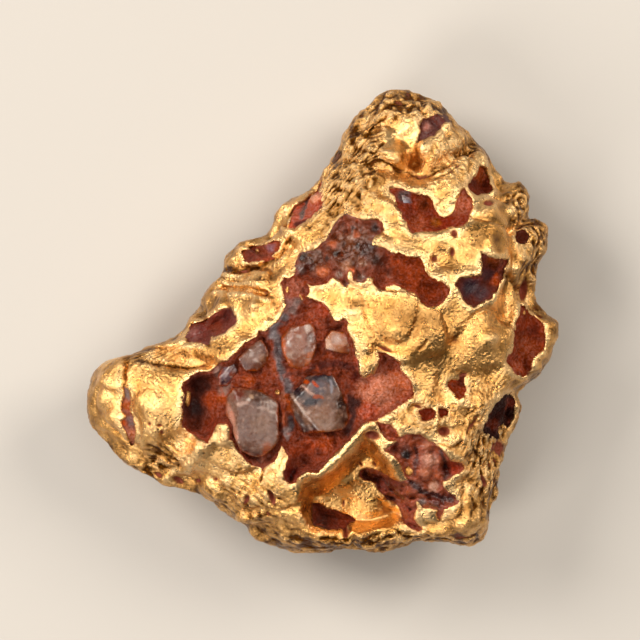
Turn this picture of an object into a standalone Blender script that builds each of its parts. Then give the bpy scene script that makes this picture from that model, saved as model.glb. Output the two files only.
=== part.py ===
"""A lump of native gold, 47 mm across and 20 mm thick, with quartz and ironstone locked in its pockets.

The gold lies on its back on the plane z = 0 and is looked at from above (+Z).  Its skin is an icosphere
whose vertices are carried to a waist of the outline's shape, domed above and below it, then raised into
mounds, pressed into folds and a trough, and roughened by noise.  Upright columns of each pocket's outline
cut it.  What fills a pocket is the same column, a clearance smaller, trimmed by a sunken copy of the skin.
Quartz grains are prisms with slanted facets, bedded in the matrix of the main hollow.
"""

import math
from itertools import product

import bmesh
import bpy
import numpy as np
from mathutils import Matrix, Vector

MM = 0.001

# Driving dimensions, in millimetres.
GAP = 0.3               # clearance between a piece and what holds it
WAIST_HEIGHT = 8.2      # the widest line above the rest plane
CROWN_RISE = 10.6       # the dome above the waist
BELLY_DROP = 8.5        # the dome below it, worn flat where its lumps pass the rest plane
HEART = (2.4, -2.45)    # the point that the outline's radius is measured from
TROUGH_DEPTH = 3.0
TROUGH_SLOPE = 1.7      # width of the trough's sides
GOLD_TRIANGLES = 3900
FILLING_TRIANGLES = 3400
SKIN_DIVISIONS = 7      # of the icosphere; level 7 has 82,000 triangles

# Shape of the dome: powers of the cosine and sine of the latitude.
SIDE_POWER = 0.78
CROWN_POWER = 0.88
BELLY_POWER = 0.92

# How much thinner the lump is towards its ends.
NOSE_THINNING = 0.27
CROWN_THINNING = 0.25
FOOT_THINNING = 0.12
END_RUN = (6, 23)       # how far from the middle the nose and the crown thin out
FOOT_RUN = (10, 23)

# The outline is followed sharply at the waist and bluntly above and below it.
BLUNT_RUN = 41          # how many points of the outline the blunt one is averaged over
SHARP_POWER = 5         # how soon the sharp one gives way

# Lift is the height of a direction on the unit sphere.  These come in between two lifts.
RELIEF_LIFT = (0.05, 0.4)   # mounds, folds and the trough
CAP_LIFT = (0.3, 0.7)       # the calmer top, and the lumps of the belly
FLANK_LIFT = (0.12, 0.5)    # the end of the flank
RIM_LIFT = (0.0, 0.22)      # the end of the calm rim
TOP_CALM = 0.6              # share of the lumps that the top is spared
FLANK_CREASES = 0.5         # share of the creases that a flank has
FLANK_PITS = 0.4            # share of the pitting that a flank has

# Waves of the waist up and down: height, how many to a turn, phase.
WAIST_WAVES = [(1.1, 2, 0.7), (0.8, 3, 2.0), (0.5, 7, 0.0)]

WAIST_SPREAD = 2.0      # the most that the waist waves up or down

# Roughness of the skin as layers of noise: height, cell size, seed.
LUMPS = [(1.7, 8.0, 1), (0.9, 3.6, 2)]
BELLY_LUMPS = [(0.9, 6.5, 9)]
CREASES = [(1.0, 6.0, 3)]
CREASE_DEPTH = 0.8
CREASE_WIDTH = 0.16
FLANK_DINTS = [(3.2, 5.6, 5), (1.5, 2.8, 6)]
FLANK_SWELL = 0.05      # the most that a flank stands out past the outline
RIM_SHARE = 0.15        # how much of the dints the very edge of the outline keeps
PITTING = [(0.2, 1.9, 4)]
FILLING_ROUGHNESS = [(1.0, 1.6, 21), (0.6, 3.1, 22)]
FILLING_SINK = 0.6      # of a filling, away from any pocket
LEAST_SINK = 0.25
SINK_EDGE = (-0.5, 0.1)  # depth inside a pocket's outline over which its own sink comes in

# The outline as seen from above, anticlockwise from the right.
OUTLINE = [
    (23.1, -2.4), (23.6, -0.6), (22.6, 0.9), (21.5, 2.6), (21.5, 4.5), (21.7, 5.8), (22.5, 7.0),
    (22.6, 9.2), (22.0, 10.2), (20.9, 10.4), (21.0, 11.5), (20.9, 12.8), (20.1, 13.9), (18.7, 13.8),
    (17.6, 15.4), (16.5, 17.4), (14.8, 18.7), (13.4, 19.8), (13.1, 20.4), (11.4, 22.2), (9.5, 23.0),
    (6.9, 23.0), (5.4, 22.2), (4.5, 21.2), (3.1, 19.8), (2.2, 18.6), (2.0, 17.8), (0.8, 15.8),
    (-0.4, 13.8), (-1.6, 12.6), (-2.9, 12.2), (-4.0, 11.4), (-4.6, 10.6), (-4.7, 9.8), (-5.4, 8.6),
    (-6.5, 8.2), (-7.9, 7.8), (-9.0, 7.0), (-9.6, 6.2), (-10.0, 4.6), (-11.7, 2.6), (-12.3, 1.4),
    (-13.2, 0.2), (-13.9, -1.0), (-15.1, -1.9), (-18.4, -3.1), (-21.9, -4.4), (-23.0, -5.7),
    (-23.4, -8.0), (-23.1, -10.1), (-22.1, -11.6), (-20.7, -13.4), (-18.7, -14.8), (-16.8, -16.0),
    (-14.6, -16.8), (-12.5, -17.4), (-10.8, -18.2), (-9.5, -19.4), (-7.9, -20.4), (-6.6, -21.8),
    (-4.9, -22.6), (-1.2, -23.2), (2.4, -23.2), (6.0, -23.2), (9.6, -22.2), (12.8, -22.3),
    (14.1, -22.6), (15.1, -22.6), (16.0, -21.8), (16.7, -20.4), (17.1, -18.4), (17.7, -17.6),
    (17.9, -15.3), (18.6, -11.8), (19.4, -10.4), (20.0, -8.8), (19.6, -7.1), (21.4, -5.8), (22.6, -4.2),
]

# Mounds and dents of the upper side: x, y, half width, half length, turn in degrees, height.
MOUNDS = {
    "nose tip": (-21.6, -8.6, 2.2, 4.2, 0, 0.9),
    "nose back": (-16.8, -8.8, 3.2, 5.0, 0, 1.4),
    "south-west swell": (-6.5, -17.5, 4.5, 3.0, 0, 0.9),
    "middle swell": (8.0, -1.0, 6.0, 5.0, 0, 0.7),
    "north-east swell": (16.6, 7.5, 2.6, 5.0, 0, 1.1),
    "crown": (8.0, 20.0, 4.5, 3.5, 0, 1.3),
    "crown dip": (7.9, 18.5, 2.2, 1.3, 0, -1.1),
    "glow hole": (9.4, 15.7, 0.9, 0.9, 0, -2.0),
    "glow basin": (8.8, 17.0, 0.9, 1.6, 0, -0.8),
    "west ridge": (4.2, 13.6, 2.2, 4.5, -20, 0.8),
    "vee wedge": (12.5, 13.2, 1.5, 1.5, 0, 0.6),
    "bead": (-3.7, 10.6, 1.2, 1.3, 0, 1.3),
    "bridge lump": (8.0, -9.9, 1.7, 1.4, 0, 0.8),
    "south-east dome": (14.4, -19.6, 2.4, 2.2, 0, 1.2),
    "curled lobe": (19.5, 12.3, 1.1, 1.3, 0, 0.7),
    "ear lobe": (21.6, 8.6, 1.3, 1.7, 0, 1.0),
    "lower lobe": (20.3, 4.6, 1.3, 1.5, 0, 0.6),
    "tongue lump": (4.7, -4.4, 1.1, 1.0, 0, 0.6),
    "hollow lump": (3.6, -1.6, 1.0, 1.4, 0, 0.6),
    "east boss": (16.8, -1.9, 1.4, 1.2, 0, 0.6),
    "south bulb": (3.6, -20.9, 1.1, 0.9, 0, 1.0),
    "east ledge": (21.6, 5.5, 2.2, 7.5, 0, -1.7),
    "terrace slope": (-9.6, 4.0, 3.0, 5.5, -50, -1.4),
    "south-east slope": (16.5, -13.5, 2.2, 4.5, 0, -1.0),
}

# Ridges and creases of the upper side: height, half width, the line they follow.
FOLDS = {
    "nose ridge": (1.2, 0.9, [(-14.6, -15.4), (-11.3, -12.1)]),
    "nose valley": (-0.9, 1.2, [(-17.5, -13.6), (-13.2, -11.6)]),
    "nose crease": (-1.2, 0.8, [(-17.2, -3.4), (-14.1, -3.9), (-10.8, -4.4)]),
    "terrace one": (-0.8, 0.6, [(-10.8, 3.1), (-8.6, 2.7), (-5.9, 2.5)]),
    "terrace two": (-1.0, 0.7, [(-9.8, 5.1), (-7.1, 5.1), (-4.9, 5.6), (-3.0, 7.4)]),
    "terrace step": (0.7, 0.7, [(-9.6, 4.1), (-6.0, 4.3)]),
    "terrace foot": (0.6, 0.8, [(-11.0, 1.9), (-5.8, 1.6)]),
    "crown fold": (-0.9, 0.7, [(5.5, 15.5), (8.0, 14.8), (10.2, 14.2), (11.9, 15.4), (14.9, 17.2)]),
    "crown roll": (0.8, 0.7, [(2.7, 17.4), (3.0, 18.9), (4.3, 20.4), (6.0, 21.6)]),
    "crown crease": (-0.7, 0.6, [(3.6, 16.8), (4.3, 18.9), (5.7, 20.4)]),
    "east crease": (-1.5, 0.9, [(18.6, 12.4), (18.8, 8.0), (18.6, 4.0), (18.5, 0.5)]),
    "east band": (0.8, 1.2, [(18.4, -6.0), (15.9, -8.5), (14.8, -11.5)]),
    "east valley": (-0.8, 0.9, [(15.6, -11.6), (14.6, -14.0)]),
    "rope rim": (0.8, 0.6, [(-2.1, -15.6), (-0.2, -15.1), (1.9, -13.5), (3.2, -11.8), (4.5, -10.7)]),
    "south rim": (0.9, 0.8, [(-1.9, -21.0), (1.5, -22.0), (5.0, -22.1), (8.0, -21.6), (10.8, -21.3)]),
    "curl": (0.7, 0.6, [(12.3, -12.6), (12.9, -13.4), (14.0, -13.4), (14.9, -12.5)]),
}

TROUGH = [
    (-1.9, -16.2), (0.0, -15.6), (2.2, -13.9), (3.8, -12.0), (5.0, -11.2), (5.8, -12.4), (6.9, -13.6),
    (7.9, -15.6), (8.9, -17.5), (9.3, -19.6), (8.7, -20.8), (6.4, -21.0), (2.5, -21.2), (-1.2, -20.7),
    (-2.4, -19.0), (-2.4, -17.4),
]

# Pockets of the upper side: how far the filling lies below the skin, its roughness, and the outline.
POCKETS = {
    "vee": (1.5, 0.25, [
        (6.7, 13.1), (8.0, 13.1), (9.7, 12.4), (10.9, 12.1), (11.2, 11.1), (12.2, 10.1), (13.1, 10.8),
        (13.5, 12.2), (14.2, 12.9), (15.0, 11.6), (14.4, 9.7), (12.9, 9.3), (11.6, 8.8), (9.1, 8.7),
        (8.3, 10.2)]),
    "peak": (0.5, 0.15, [(15.8, 15.3), (17.1, 13.2), (16.1, 12.6), (15.2, 13.2), (14.9, 14.0)]),
    "crown": (0.8, 0.2, [
        (11.4, 20.3), (12.2, 19.9), (12.2, 19.4), (11.5, 18.6), (10.0, 17.8), (9.8, 18.7), (10.2, 19.9)]),
    "shield": (1.4, 0.2, [
        (15.9, 6.6), (16.9, 6.2), (18.1, 6.0), (17.9, 4.5), (16.9, 2.3), (15.0, 1.3), (13.9, 2.6),
        (13.4, 3.7), (14.0, 4.2), (15.8, 4.4)]),
    "rim_slot": (1.2, 0.2, [
        (19.9, 1.4), (20.6, 0.6), (21.6, 0.0), (22.0, -1.2), (21.9, -2.6), (21.1, -3.8), (20.7, -5.0),
        (20.0, -5.5), (19.0, -5.0), (18.5, -4.0), (19.1, -2.5), (19.5, -0.5)]),
    "east_hollow": (1.5, 0.25, [
        (18.1, -7.6), (18.9, -7.6), (19.1, -9.2), (18.6, -10.2), (17.7, -10.2), (17.3, -11.3),
        (16.4, -10.8), (16.7, -9.1)]),
    "round": (1.2, 0.1, [
        (20.7, 8.3), (20.4, 9.0), (19.8, 9.1), (19.3, 8.6), (19.3, 7.9), (19.8, 7.5), (20.4, 7.7)]),
    "heart": (1.2, 0.15, [
        (12.7, -6.1), (13.5, -6.0), (14.3, -5.8), (14.3, -7.2), (13.7, -7.9), (13.1, -7.1)]),
    "twin": (1.0, 0.15, [(9.8, -9.0), (10.8, -8.7), (12.4, -8.8), (11.9, -9.6), (10.6, -9.9), (9.9, -9.8)]),
    "lower_patch": (0.9, 0.35, [
        (8.0, -11.6), (9.9, -11.2), (11.3, -12.2), (12.4, -13.4), (14.2, -14.3), (13.6, -15.2),
        (12.1, -15.9), (12.7, -17.1), (13.6, -18.0), (12.8, -18.6), (10.9, -18.6), (9.9, -18.9),
        (9.9, -20.5), (9.0, -20.6), (8.1, -19.6), (7.7, -18.5), (6.2, -17.5), (4.9, -16.1),
        (3.9, -15.3), (5.3, -14.7), (7.6, -15.6), (7.6, -14.0), (6.9, -12.9), (7.3, -12.2)]),
    "trough_hole": (1.0, 0.15, [
        (-0.7, -18.3), (0.3, -18.5), (1.6, -18.9), (3.3, -19.8), (2.3, -20.5), (0.7, -20.7), (-0.7, -20.4)]),
    "left": (1.2, 0.25, [
        (-12.7, -0.6), (-11.3, -0.1), (-10.1, 0.9), (-9.2, 1.1), (-8.5, 0.3), (-8.8, -0.7), (-10.1, -1.6),
        (-11.2, -1.9), (-11.6, -2.4), (-12.8, -1.9)]),
    "lens": (0.9, 0.2, [
        (-7.6, 6.5), (-6.6, 7.2), (-5.3, 7.6), (-4.3, 7.7), (-4.2, 7.0), (-5.3, 6.1), (-6.8, 5.8)]),
    "shoulder": (0.5, 0.2, [
        (-0.5, 12.6), (-1.5, 11.6), (-2.6, 10.8), (-3.0, 9.5), (-2.3, 9.2), (-0.9, 10.2), (0.2, 11.2)]),
    "nose_crack": (0.6, 0.15, [
        (-19.6, -6.8), (-18.7, -6.9), (-18.5, -9.4), (-18.4, -11.4), (-19.1, -12.6), (-20.0, -10.6),
        (-19.7, -9.0), (-20.0, -8.2)]),
}

# The main hollow with its vein, and the dark patch that the vein runs into, hold one piece of matrix.
HOLLOW_SINK = 1.8
HOLLOW_LUMP = 0.8
HOLLOW = [
    (-2.7, 5.0), (-1.9, 5.0), (-1.3, 3.3), (-1.5, 2.2), (-0.1, 1.8), (0.8, 0.8), (1.4, -0.1), (2.4, 0.1),
    (2.6, -1.0), (3.3, -2.6), (3.8, -4.4), (3.8, -5.3), (4.7, -5.7), (5.4, -5.1), (5.8, -3.6), (7.1, -3.6),
    (7.8, -4.8), (8.8, -6.0), (9.1, -7.4), (7.7, -8.4), (6.2, -9.4), (4.7, -9.8), (3.9, -10.4),
    (2.6, -12.1), (1.0, -13.6), (-0.2, -14.8), (-1.9, -15.0), (-2.6, -16.0), (-3.5, -15.8), (-3.5, -14.6),
    (-3.3, -13.4), (-4.0, -12.6), (-4.6, -14.0), (-5.9, -14.7), (-7.3, -14.0), (-8.4, -12.6),
    (-9.0, -11.4), (-9.3, -10.4), (-10.1, -10.3), (-11.1, -12.0), (-12.5, -11.4), (-13.7, -10.4),
    (-13.6, -8.2), (-13.7, -6.6), (-12.7, -5.4), (-10.8, -5.1), (-9.9, -4.2), (-7.8, -2.6), (-6.2, -1.5),
    (-5.1, -0.8), (-3.9, 0.6), (-3.6, 2.2), (-3.6, 3.8),
]
PATCH_SINK = 0.4
PATCH_LUMP = 0.45
PATCH = [
    (-2.7, 4.4), (-2.5, 5.9), (-2.1, 6.8), (-0.7, 6.9), (0.4, 7.9), (1.1, 9.3), (2.6, 10.5), (4.5, 9.9),
    (5.8, 10.0), (6.2, 9.0), (5.1, 8.0), (5.1, 7.3), (6.4, 7.0), (9.6, 6.2), (10.2, 4.9), (11.5, 4.0),
    (12.5, 3.1), (12.1, 1.8), (11.0, 1.4), (9.8, 2.2), (8.6, 3.1), (6.4, 3.4), (5.0, 3.9), (3.7, 3.8),
    (2.6, 3.6), (1.2, 4.2), (0.2, 3.6), (-0.9, 3.5), (-1.7, 4.4),
]

# Pockets of the flanks and the underside: azimuth, elevation, distance up the flank, half width,
# half height, sink, seed.  An elevation of -90 looks at the underside from below.
SIDE_ROUGHNESS = 0.25
SIDE_POCKETS = {
    "flank_south": (-118, -8, 5.6, 3.0, 1.7, 0.9, 3),
    "flank_east": (24, -14, 5.0, 2.6, 1.5, 0.8, 5),
    "flank_north_west": (128, -12, 5.0, 3.6, 1.6, 0.9, 8),
}
UNDERSIDE_POCKETS = {
    "underside_large": (-3.0, -6.0, 4.4, 3.0, 1.0, 11),
    "underside_small": (9.5, 6.5, 2.8, 3.6, 0.9, 14),
}

# Quartz grains of the main hollow: how far the top lies below the skin, the outline seen from above, and
# the facets: the azimuth that each faces, its slope, and how far below the top it crosses the axis.
GRAINS = {
    "quartz_lower_left": (0.3, [
        (-4.2, -8.2), (-5.2, -7.3), (-6.3, -6.7), (-8.6, -6.9), (-9.3, -9.3), (-8.7, -11.1), (-7.5, -13.0),
        (-6.2, -14.0), (-5.2, -13.3), (-4.5, -12.3), (-4.2, -11.0)],
        [(80, 34, 0.9), (-95, 48, 1.5), (-175, 40, 1.0), (5, 30, 0.6)]),
    "quartz_lower_right": (0.2, [
        (-3.2, -6.5), (-2.7, -5.8), (-1.9, -5.4), (1.2, -5.3), (2.1, -5.9), (2.8, -7.0), (3.0, -8.5),
        (2.6, -10.0), (1.5, -11.0), (-0.1, -11.3), (-2.0, -11.2), (-2.8, -10.5)],
        [(130, 36, 0.9), (-15, 48, 1.3), (-120, 42, 1.2), (75, 28, 0.8)]),
    "quartz_upper": (0.5, [
        (-4.0, -1.7), (-3.4, -0.9), (-2.0, -0.2), (-1.0, -0.3), (-0.3, -1.0), (0.0, -2.0), (-0.2, -3.2),
        (-0.8, -4.3), (-1.6, -4.9), (-3.0, -4.7), (-3.8, -3.7)],
        [(150, 32, 0.7), (20, 30, 0.8), (-90, 36, 0.9)]),
    "quartz_upper_left": (0.6, [
        (-8.0, -3.4), (-6.9, -2.4), (-6.2, -2.0), (-5.4, -2.5), (-5.0, -3.5), (-5.2, -4.5), (-6.1, -5.0),
        (-7.2, -5.2), (-8.0, -4.6)],
        [(125, 34, 0.6), (-40, 30, 0.6)]),
    "quartz_upper_right": (0.6, [
        (0.4, -1.7), (0.9, -1.2), (1.9, -1.0), (2.4, -1.4), (2.8, -2.3), (2.8, -3.1), (1.6, -3.3), (0.5, -2.8)],
        [(110, 28, 0.5), (-70, 40, 0.7)]),
    "quartz_small_left": (1.0, [
        (-10.1, -5.4), (-9.5, -4.6), (-8.6, -4.4), (-8.3, -5.2), (-8.6, -6.0), (-9.3, -6.4), (-10.0, -6.5)],
        [(140, 30, 0.5), (-60, 36, 0.6)]),
}
GRAIN_BED = 2.0         # matrix left under a grain
GRAIN_BEVEL = 0.32
BEVEL_ANGLE = 25        # degrees between two faces, above which their edge is worn
FACET_REACH = 0.62      # where a facet's plane crosses, as a share of the way from the axis to the edge

POCKET_MARGIN = 1.6     # a pocket's floor below the lowest part of its filling
SKY = 40                # a height above everything
MITRE_LIMIT = 1.2       # keeps the corners of a moved outline from reaching far out
SLAB = (80, 80, 20)     # of the rest plane

UPRIGHT = Matrix.Translation((0, 0, WAIST_HEIGHT))

# Materials: colour (linear), metallic, roughness.
FINISHES = {
    "native_gold": ((0.72, 0.40, 0.10), 1.0, 0.36),
    "ironstone": ((0.16, 0.035, 0.015), 0.0, 0.75),
    "vein_quartz": ((0.42, 0.34, 0.32), 0.0, 0.35),
}


def smooth_step(low, high, values):
    """A soft ramp from 0 at low to 1 at high."""
    share = np.clip((values - low) / (high - low), 0.0, 1.0)
    return share * share * (3.0 - 2.0 * share)


def closed_curve(points, steps):
    """A Catmull-Rom curve through a closed ring of points, with a number of steps between two points."""
    ring = np.array(points)
    before, after, beyond = np.roll(ring, 1, 0), np.roll(ring, -1, 0), np.roll(ring, -2, 0)
    share = (np.arange(steps) / steps)[None, :, None]
    a, b, c, d = (part[:, None, :] for part in (before, ring, after, beyond))
    curve = 0.5 * (2 * b + (c - a) * share + (2 * a - 5 * b + 4 * c - d) * share ** 2
                   + (3 * b - a - 3 * c + d) * share ** 3)
    return curve.reshape(-1, 2)


def radius_table(points):
    """The outline's angles about the heart, rising, and its radius at each."""
    offsets = closed_curve(points, 6) - np.array(HEART)
    angles = np.arctan2(offsets[:, 1], offsets[:, 0])
    order = np.argsort(angles)
    return angles[order], np.hypot(offsets[:, 0], offsets[:, 1])[order]


def gradient_noise(points, cell, seed):
    """Noise of about -1 to 1: random slopes at the corners of a lattice of cubes, blended smoothly."""
    place = points / cell
    corner_zero = np.floor(place).astype(np.int64)
    part = place - corner_zero
    blend = part ** 3 * (part * (part * 6 - 15) + 10)
    total = np.zeros(len(points))
    for corner in product((0, 1), repeat=3):
        lattice = corner_zero + corner
        key = lattice @ np.array([73856093, 19349663, 83492791]) + seed * 2654435761
        key = (key ^ (key >> 13)) * 1274126177
        key = key ^ (key >> 16)
        slopes = np.stack([(key >> shift & 1023) / 511.5 - 1 for shift in (0, 10, 20)], axis=1)
        weight = np.prod(np.where(corner, blend, 1 - blend), axis=1)
        total += weight * np.sum(slopes * (part - corner), axis=1)
    return total * 1.5


def noise_layers(points, layers):
    """The sum of some layers of noise, each a height, a cell size and a seed."""
    return sum(height * gradient_noise(points, cell, seed) for height, cell, seed in layers)


def segment_distance(places, start, end):
    """Distance of each place (x, y) to the straight line between two points."""
    run = np.subtract(end, start)
    share = np.clip((places - start) @ run / (run @ run), 0, 1)
    return np.linalg.norm(places - start - share[:, None] * run, axis=1)


def line_distance(places, points):
    """Distance of each place to a line of points."""
    pairs = zip(points[:-1], points[1:])
    return np.min([segment_distance(places, np.array(a), np.array(b)) for a, b in pairs], axis=0)


def depth_inside(places, ring):
    """How deep each place lies inside a closed outline; negative outside."""
    points = list(ring)
    distance = line_distance(places, points + points[:1])
    inside = np.zeros(len(places), bool)
    x, y = places[:, 0], places[:, 1]
    for (ax, ay), (bx, by) in zip(points, points[1:] + points[:1]):
        if ay != by:
            crosses = (ay > y) != (by > y)
            inside ^= crosses & (x < ax + (y - ay) * (bx - ax) / (by - ay))
    return np.where(inside, distance, -distance)


def blot(width, height, seed):
    """An uneven oval outline with half axes width and height: an ellipse with waves on its radius."""
    angles = np.arange(11) / 11 * math.tau
    radius = 1 + 0.14 * np.sin(2 * angles + seed) + 0.12 * np.sin(3 * angles + 2.3 * seed)
    return list(zip(width * radius * np.cos(angles), height * radius * np.sin(angles)))


def pocket_frame(azimuth, elevation, height):
    """The frame of a flank pocket: its Z looks out of the flank, its Y upwards."""
    turn = Matrix.Rotation(math.radians(azimuth + 90), 4, "Z")
    tilt = Matrix.Rotation(math.radians(90 - elevation), 4, "X")
    return Matrix.Translation((HEART[0], HEART[1], height)) @ turn @ tilt


def all_pockets():
    """Every pocket: its name, frame (whose Z looks out of the gold), outline, sink and roughness."""
    pockets = [(name, UPRIGHT, ring, sink, lump) for name, (sink, lump, ring) in POCKETS.items()]
    for name, (azimuth, elevation, height, wide, high, sink, seed) in SIDE_POCKETS.items():
        frame = pocket_frame(azimuth, elevation, height)
        pockets.append((name, frame, blot(wide, high, seed), sink, SIDE_ROUGHNESS))
    for name, (x, y, wide, long, sink, seed) in UNDERSIDE_POCKETS.items():
        frame = UPRIGHT @ Matrix.Translation((x, y, 0)) @ Matrix.Rotation(math.pi, 4, "X")
        pockets.append((name, frame, blot(wide, long, seed), sink, SIDE_ROUGHNESS))
    return pockets


def in_frame(points, frame):
    """Points in the coordinates of a frame."""
    inverse = np.array(frame.inverted())
    return points @ inverse[:3, :3].T + inverse[:3, 3]


def upper_relief(places):
    """Height that the mounds, folds and the trough add to the upper side at each place."""
    total = np.zeros(len(places))
    for x, y, wide, long, turn, height in MOUNDS.values():
        angle = math.radians(turn)
        across = (places[:, 0] - x) * math.cos(angle) + (places[:, 1] - y) * math.sin(angle)
        along = (places[:, 1] - y) * math.cos(angle) - (places[:, 0] - x) * math.sin(angle)
        total += height * np.exp(-((across / wide) ** 2 + (along / long) ** 2))
    for height, width, line in FOLDS.values():
        total += height * np.exp(-((line_distance(places, line) / width) ** 2))
    total -= TROUGH_DEPTH * smooth_step(0, TROUGH_SLOPE, depth_inside(places, TROUGH))
    return total


def skin_points(directions, sink_at=None):
    """The skin's points for unit directions: the waist's outline, domed, raised, roughened and sunk."""
    angles, radii = radius_table(OUTLINE)
    blunt = np.convolve(np.tile(radii, 3), np.ones(BLUNT_RUN) / BLUNT_RUN, "same")[len(radii):2 * len(radii)]
    turn = np.arctan2(directions[:, 1], directions[:, 0])
    lift = directions[:, 2]
    share = np.hypot(directions[:, 0], directions[:, 1]) ** SIDE_POWER
    sharp_reach = np.interp(turn, angles, radii, period=math.tau)
    blunt_reach = np.interp(turn, angles, blunt, period=math.tau)
    reach = share * (blunt_reach + (sharp_reach - blunt_reach) * share ** SHARP_POWER)
    around = np.stack([np.cos(turn), np.sin(turn)], axis=1)
    flat = around * reach[:, None] + HEART
    waist = sum(size * np.sin(count * turn + phase) for size, count, phase in WAIST_WAVES)
    thin = 1 - NOSE_THINNING * smooth_step(*END_RUN, -flat[:, 0])
    thin -= CROWN_THINNING * smooth_step(*END_RUN, flat[:, 1])
    thin -= FOOT_THINNING * smooth_step(*FOOT_RUN, -flat[:, 1])
    rise = CROWN_RISE * np.abs(lift) ** CROWN_POWER
    drop = BELLY_DROP * np.abs(lift) ** BELLY_POWER
    height = WAIST_HEIGHT + waist * (1 - np.abs(lift)) ** 2 + np.where(lift > 0, rise, -drop) * thin
    height += upper_relief(flat) * smooth_step(*RELIEF_LIFT, lift)
    points = np.column_stack([flat, height])
    outward = np.column_stack([around * share[:, None] ** 2, lift])
    outward /= np.linalg.norm(outward, axis=1)[:, None]
    calm_top = 1 - TOP_CALM * smooth_step(*CAP_LIFT, lift)
    lumps = noise_layers(points, LUMPS) + noise_layers(points, BELLY_LUMPS) * smooth_step(*CAP_LIFT, -lift)
    creases = -CREASE_DEPTH * smooth_step(CREASE_WIDTH, 0.0, np.abs(noise_layers(points, CREASES)))
    dints = np.minimum(noise_layers(points, FLANK_DINTS), FLANK_SWELL)
    flank = 1 - smooth_step(*FLANK_LIFT, np.abs(lift))
    rim_calm = RIM_SHARE + (1 - RIM_SHARE) * smooth_step(*RIM_LIFT, np.abs(lift))
    push = (lumps + creases) * calm_top * (1 - flank) + (dints + FLANK_CREASES * creases) * flank * rim_calm
    push += noise_layers(points, PITTING) * (1 - (1 - FLANK_PITS) * flank)
    points += outward * push[:, None]
    if sink_at is not None:
        points -= outward * sink_at(points)[:, None]
    return points


def filling_sink(points):
    """How far the fillings lie below the skin: each pocket's own sink and lumps, over its outline."""
    sink = np.full(len(points), FILLING_SINK)
    rough = noise_layers(points, FILLING_ROUGHNESS)
    regions = all_pockets()
    regions.append(("hollow", UPRIGHT, HOLLOW, HOLLOW_SINK, HOLLOW_LUMP))
    regions.append(("patch", UPRIGHT, PATCH, PATCH_SINK, PATCH_LUMP))
    for _, frame, ring, depth, lump in regions:
        local = in_frame(points, frame)
        over = smooth_step(*SINK_EDGE, depth_inside(local[:, :2], ring)) * (local[:, 2] > -WAIST_SPREAD)
        sink += over * (depth - FILLING_SINK + lump * rough)
    return np.maximum(sink, LEAST_SINK)


def collection(name):
    """A new collection in the scene."""
    made = bpy.data.collections.new(name)
    bpy.context.scene.collection.children.link(made)
    return made


def material(name):
    """A Principled material from the table of finishes."""
    made = bpy.data.materials.get(name)
    if made is None:
        colour, metallic, roughness = FINISHES[name]
        made = bpy.data.materials.new(name)
        made.use_nodes = True
        shader = made.node_tree.nodes["Principled BSDF"]
        shader.inputs["Base Color"].default_value = (*colour, 1)
        shader.inputs["Metallic"].default_value = metallic
        shader.inputs["Roughness"].default_value = roughness
    return made


def add_object(name, mesh, home):
    """An object for a mesh, linked to a collection."""
    made = bpy.data.objects.new(name, mesh)
    home.objects.link(made)
    return made


def settled(thing):
    """The object with its modifiers taken into its mesh."""
    evaluated = thing.evaluated_get(bpy.context.evaluated_depsgraph_get())
    mesh = bpy.data.meshes.new_from_object(evaluated)
    thing.modifiers.clear()
    thing.data = mesh
    return thing


def boolean(thing, other, operation):
    """Cut, keep or join a solid with another, straight away."""
    step = thing.modifiers.new(operation.lower(), "BOOLEAN")
    step.operation = operation
    step.object = other
    step.solver = "EXACT"
    return settled(thing)


def skin_solid(name, home, triangles, ground, sink_at=None):
    """The skin as a closed solid of about a number of triangles, flat where it passes the rest plane."""
    bm = bmesh.new()
    bmesh.ops.create_icosphere(bm, subdivisions=SKIN_DIVISIONS, radius=1)
    directions = np.array([vertex.co for vertex in bm.verts])
    for vertex, point in zip(bm.verts, skin_points(directions, sink_at) * MM):
        vertex.co = point
    full_count = len(bm.faces)
    mesh = bpy.data.meshes.new(name)
    bm.to_mesh(mesh)
    bm.free()
    thing = add_object(name, mesh, home)
    thinner = thing.modifiers.new("thin out", "DECIMATE")
    thinner.ratio = triangles / full_count
    settled(thing)
    return boolean(thing, ground, "DIFFERENCE")


def rest_plane(home):
    """A slab below the rest plane, which the underside is worn away by."""
    bm = bmesh.new()
    bmesh.ops.create_cube(bm, size=1)
    bmesh.ops.scale(bm, vec=Vector(SLAB) * MM, verts=bm.verts[:])
    bmesh.ops.translate(bm, vec=(0, 0, -SLAB[2] / 2 * MM), verts=bm.verts[:])
    mesh = bpy.data.meshes.new("rest_plane")
    bm.to_mesh(mesh)
    bm.free()
    return guide(add_object("rest_plane", mesh, home))


def moved_ring(ring, outwards):
    """An outline with each side moved outwards by a distance, or inwards where it is negative."""
    points = np.array(ring, float)
    area = np.sum(points[:, 0] * np.roll(points[:, 1], -1) - np.roll(points[:, 0], -1) * points[:, 1])
    if area < 0:
        points = points[::-1]
    sides = np.roll(points, -1, 0) - points
    normals = np.stack([sides[:, 1], -sides[:, 0]], axis=1) / np.linalg.norm(sides, axis=1)[:, None]
    mitre = normals + np.roll(normals, 1, 0)
    scale = 2 / np.maximum(np.sum(mitre * mitre, axis=1), MITRE_LIMIT)
    return points + outwards * mitre * scale[:, None]


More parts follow.
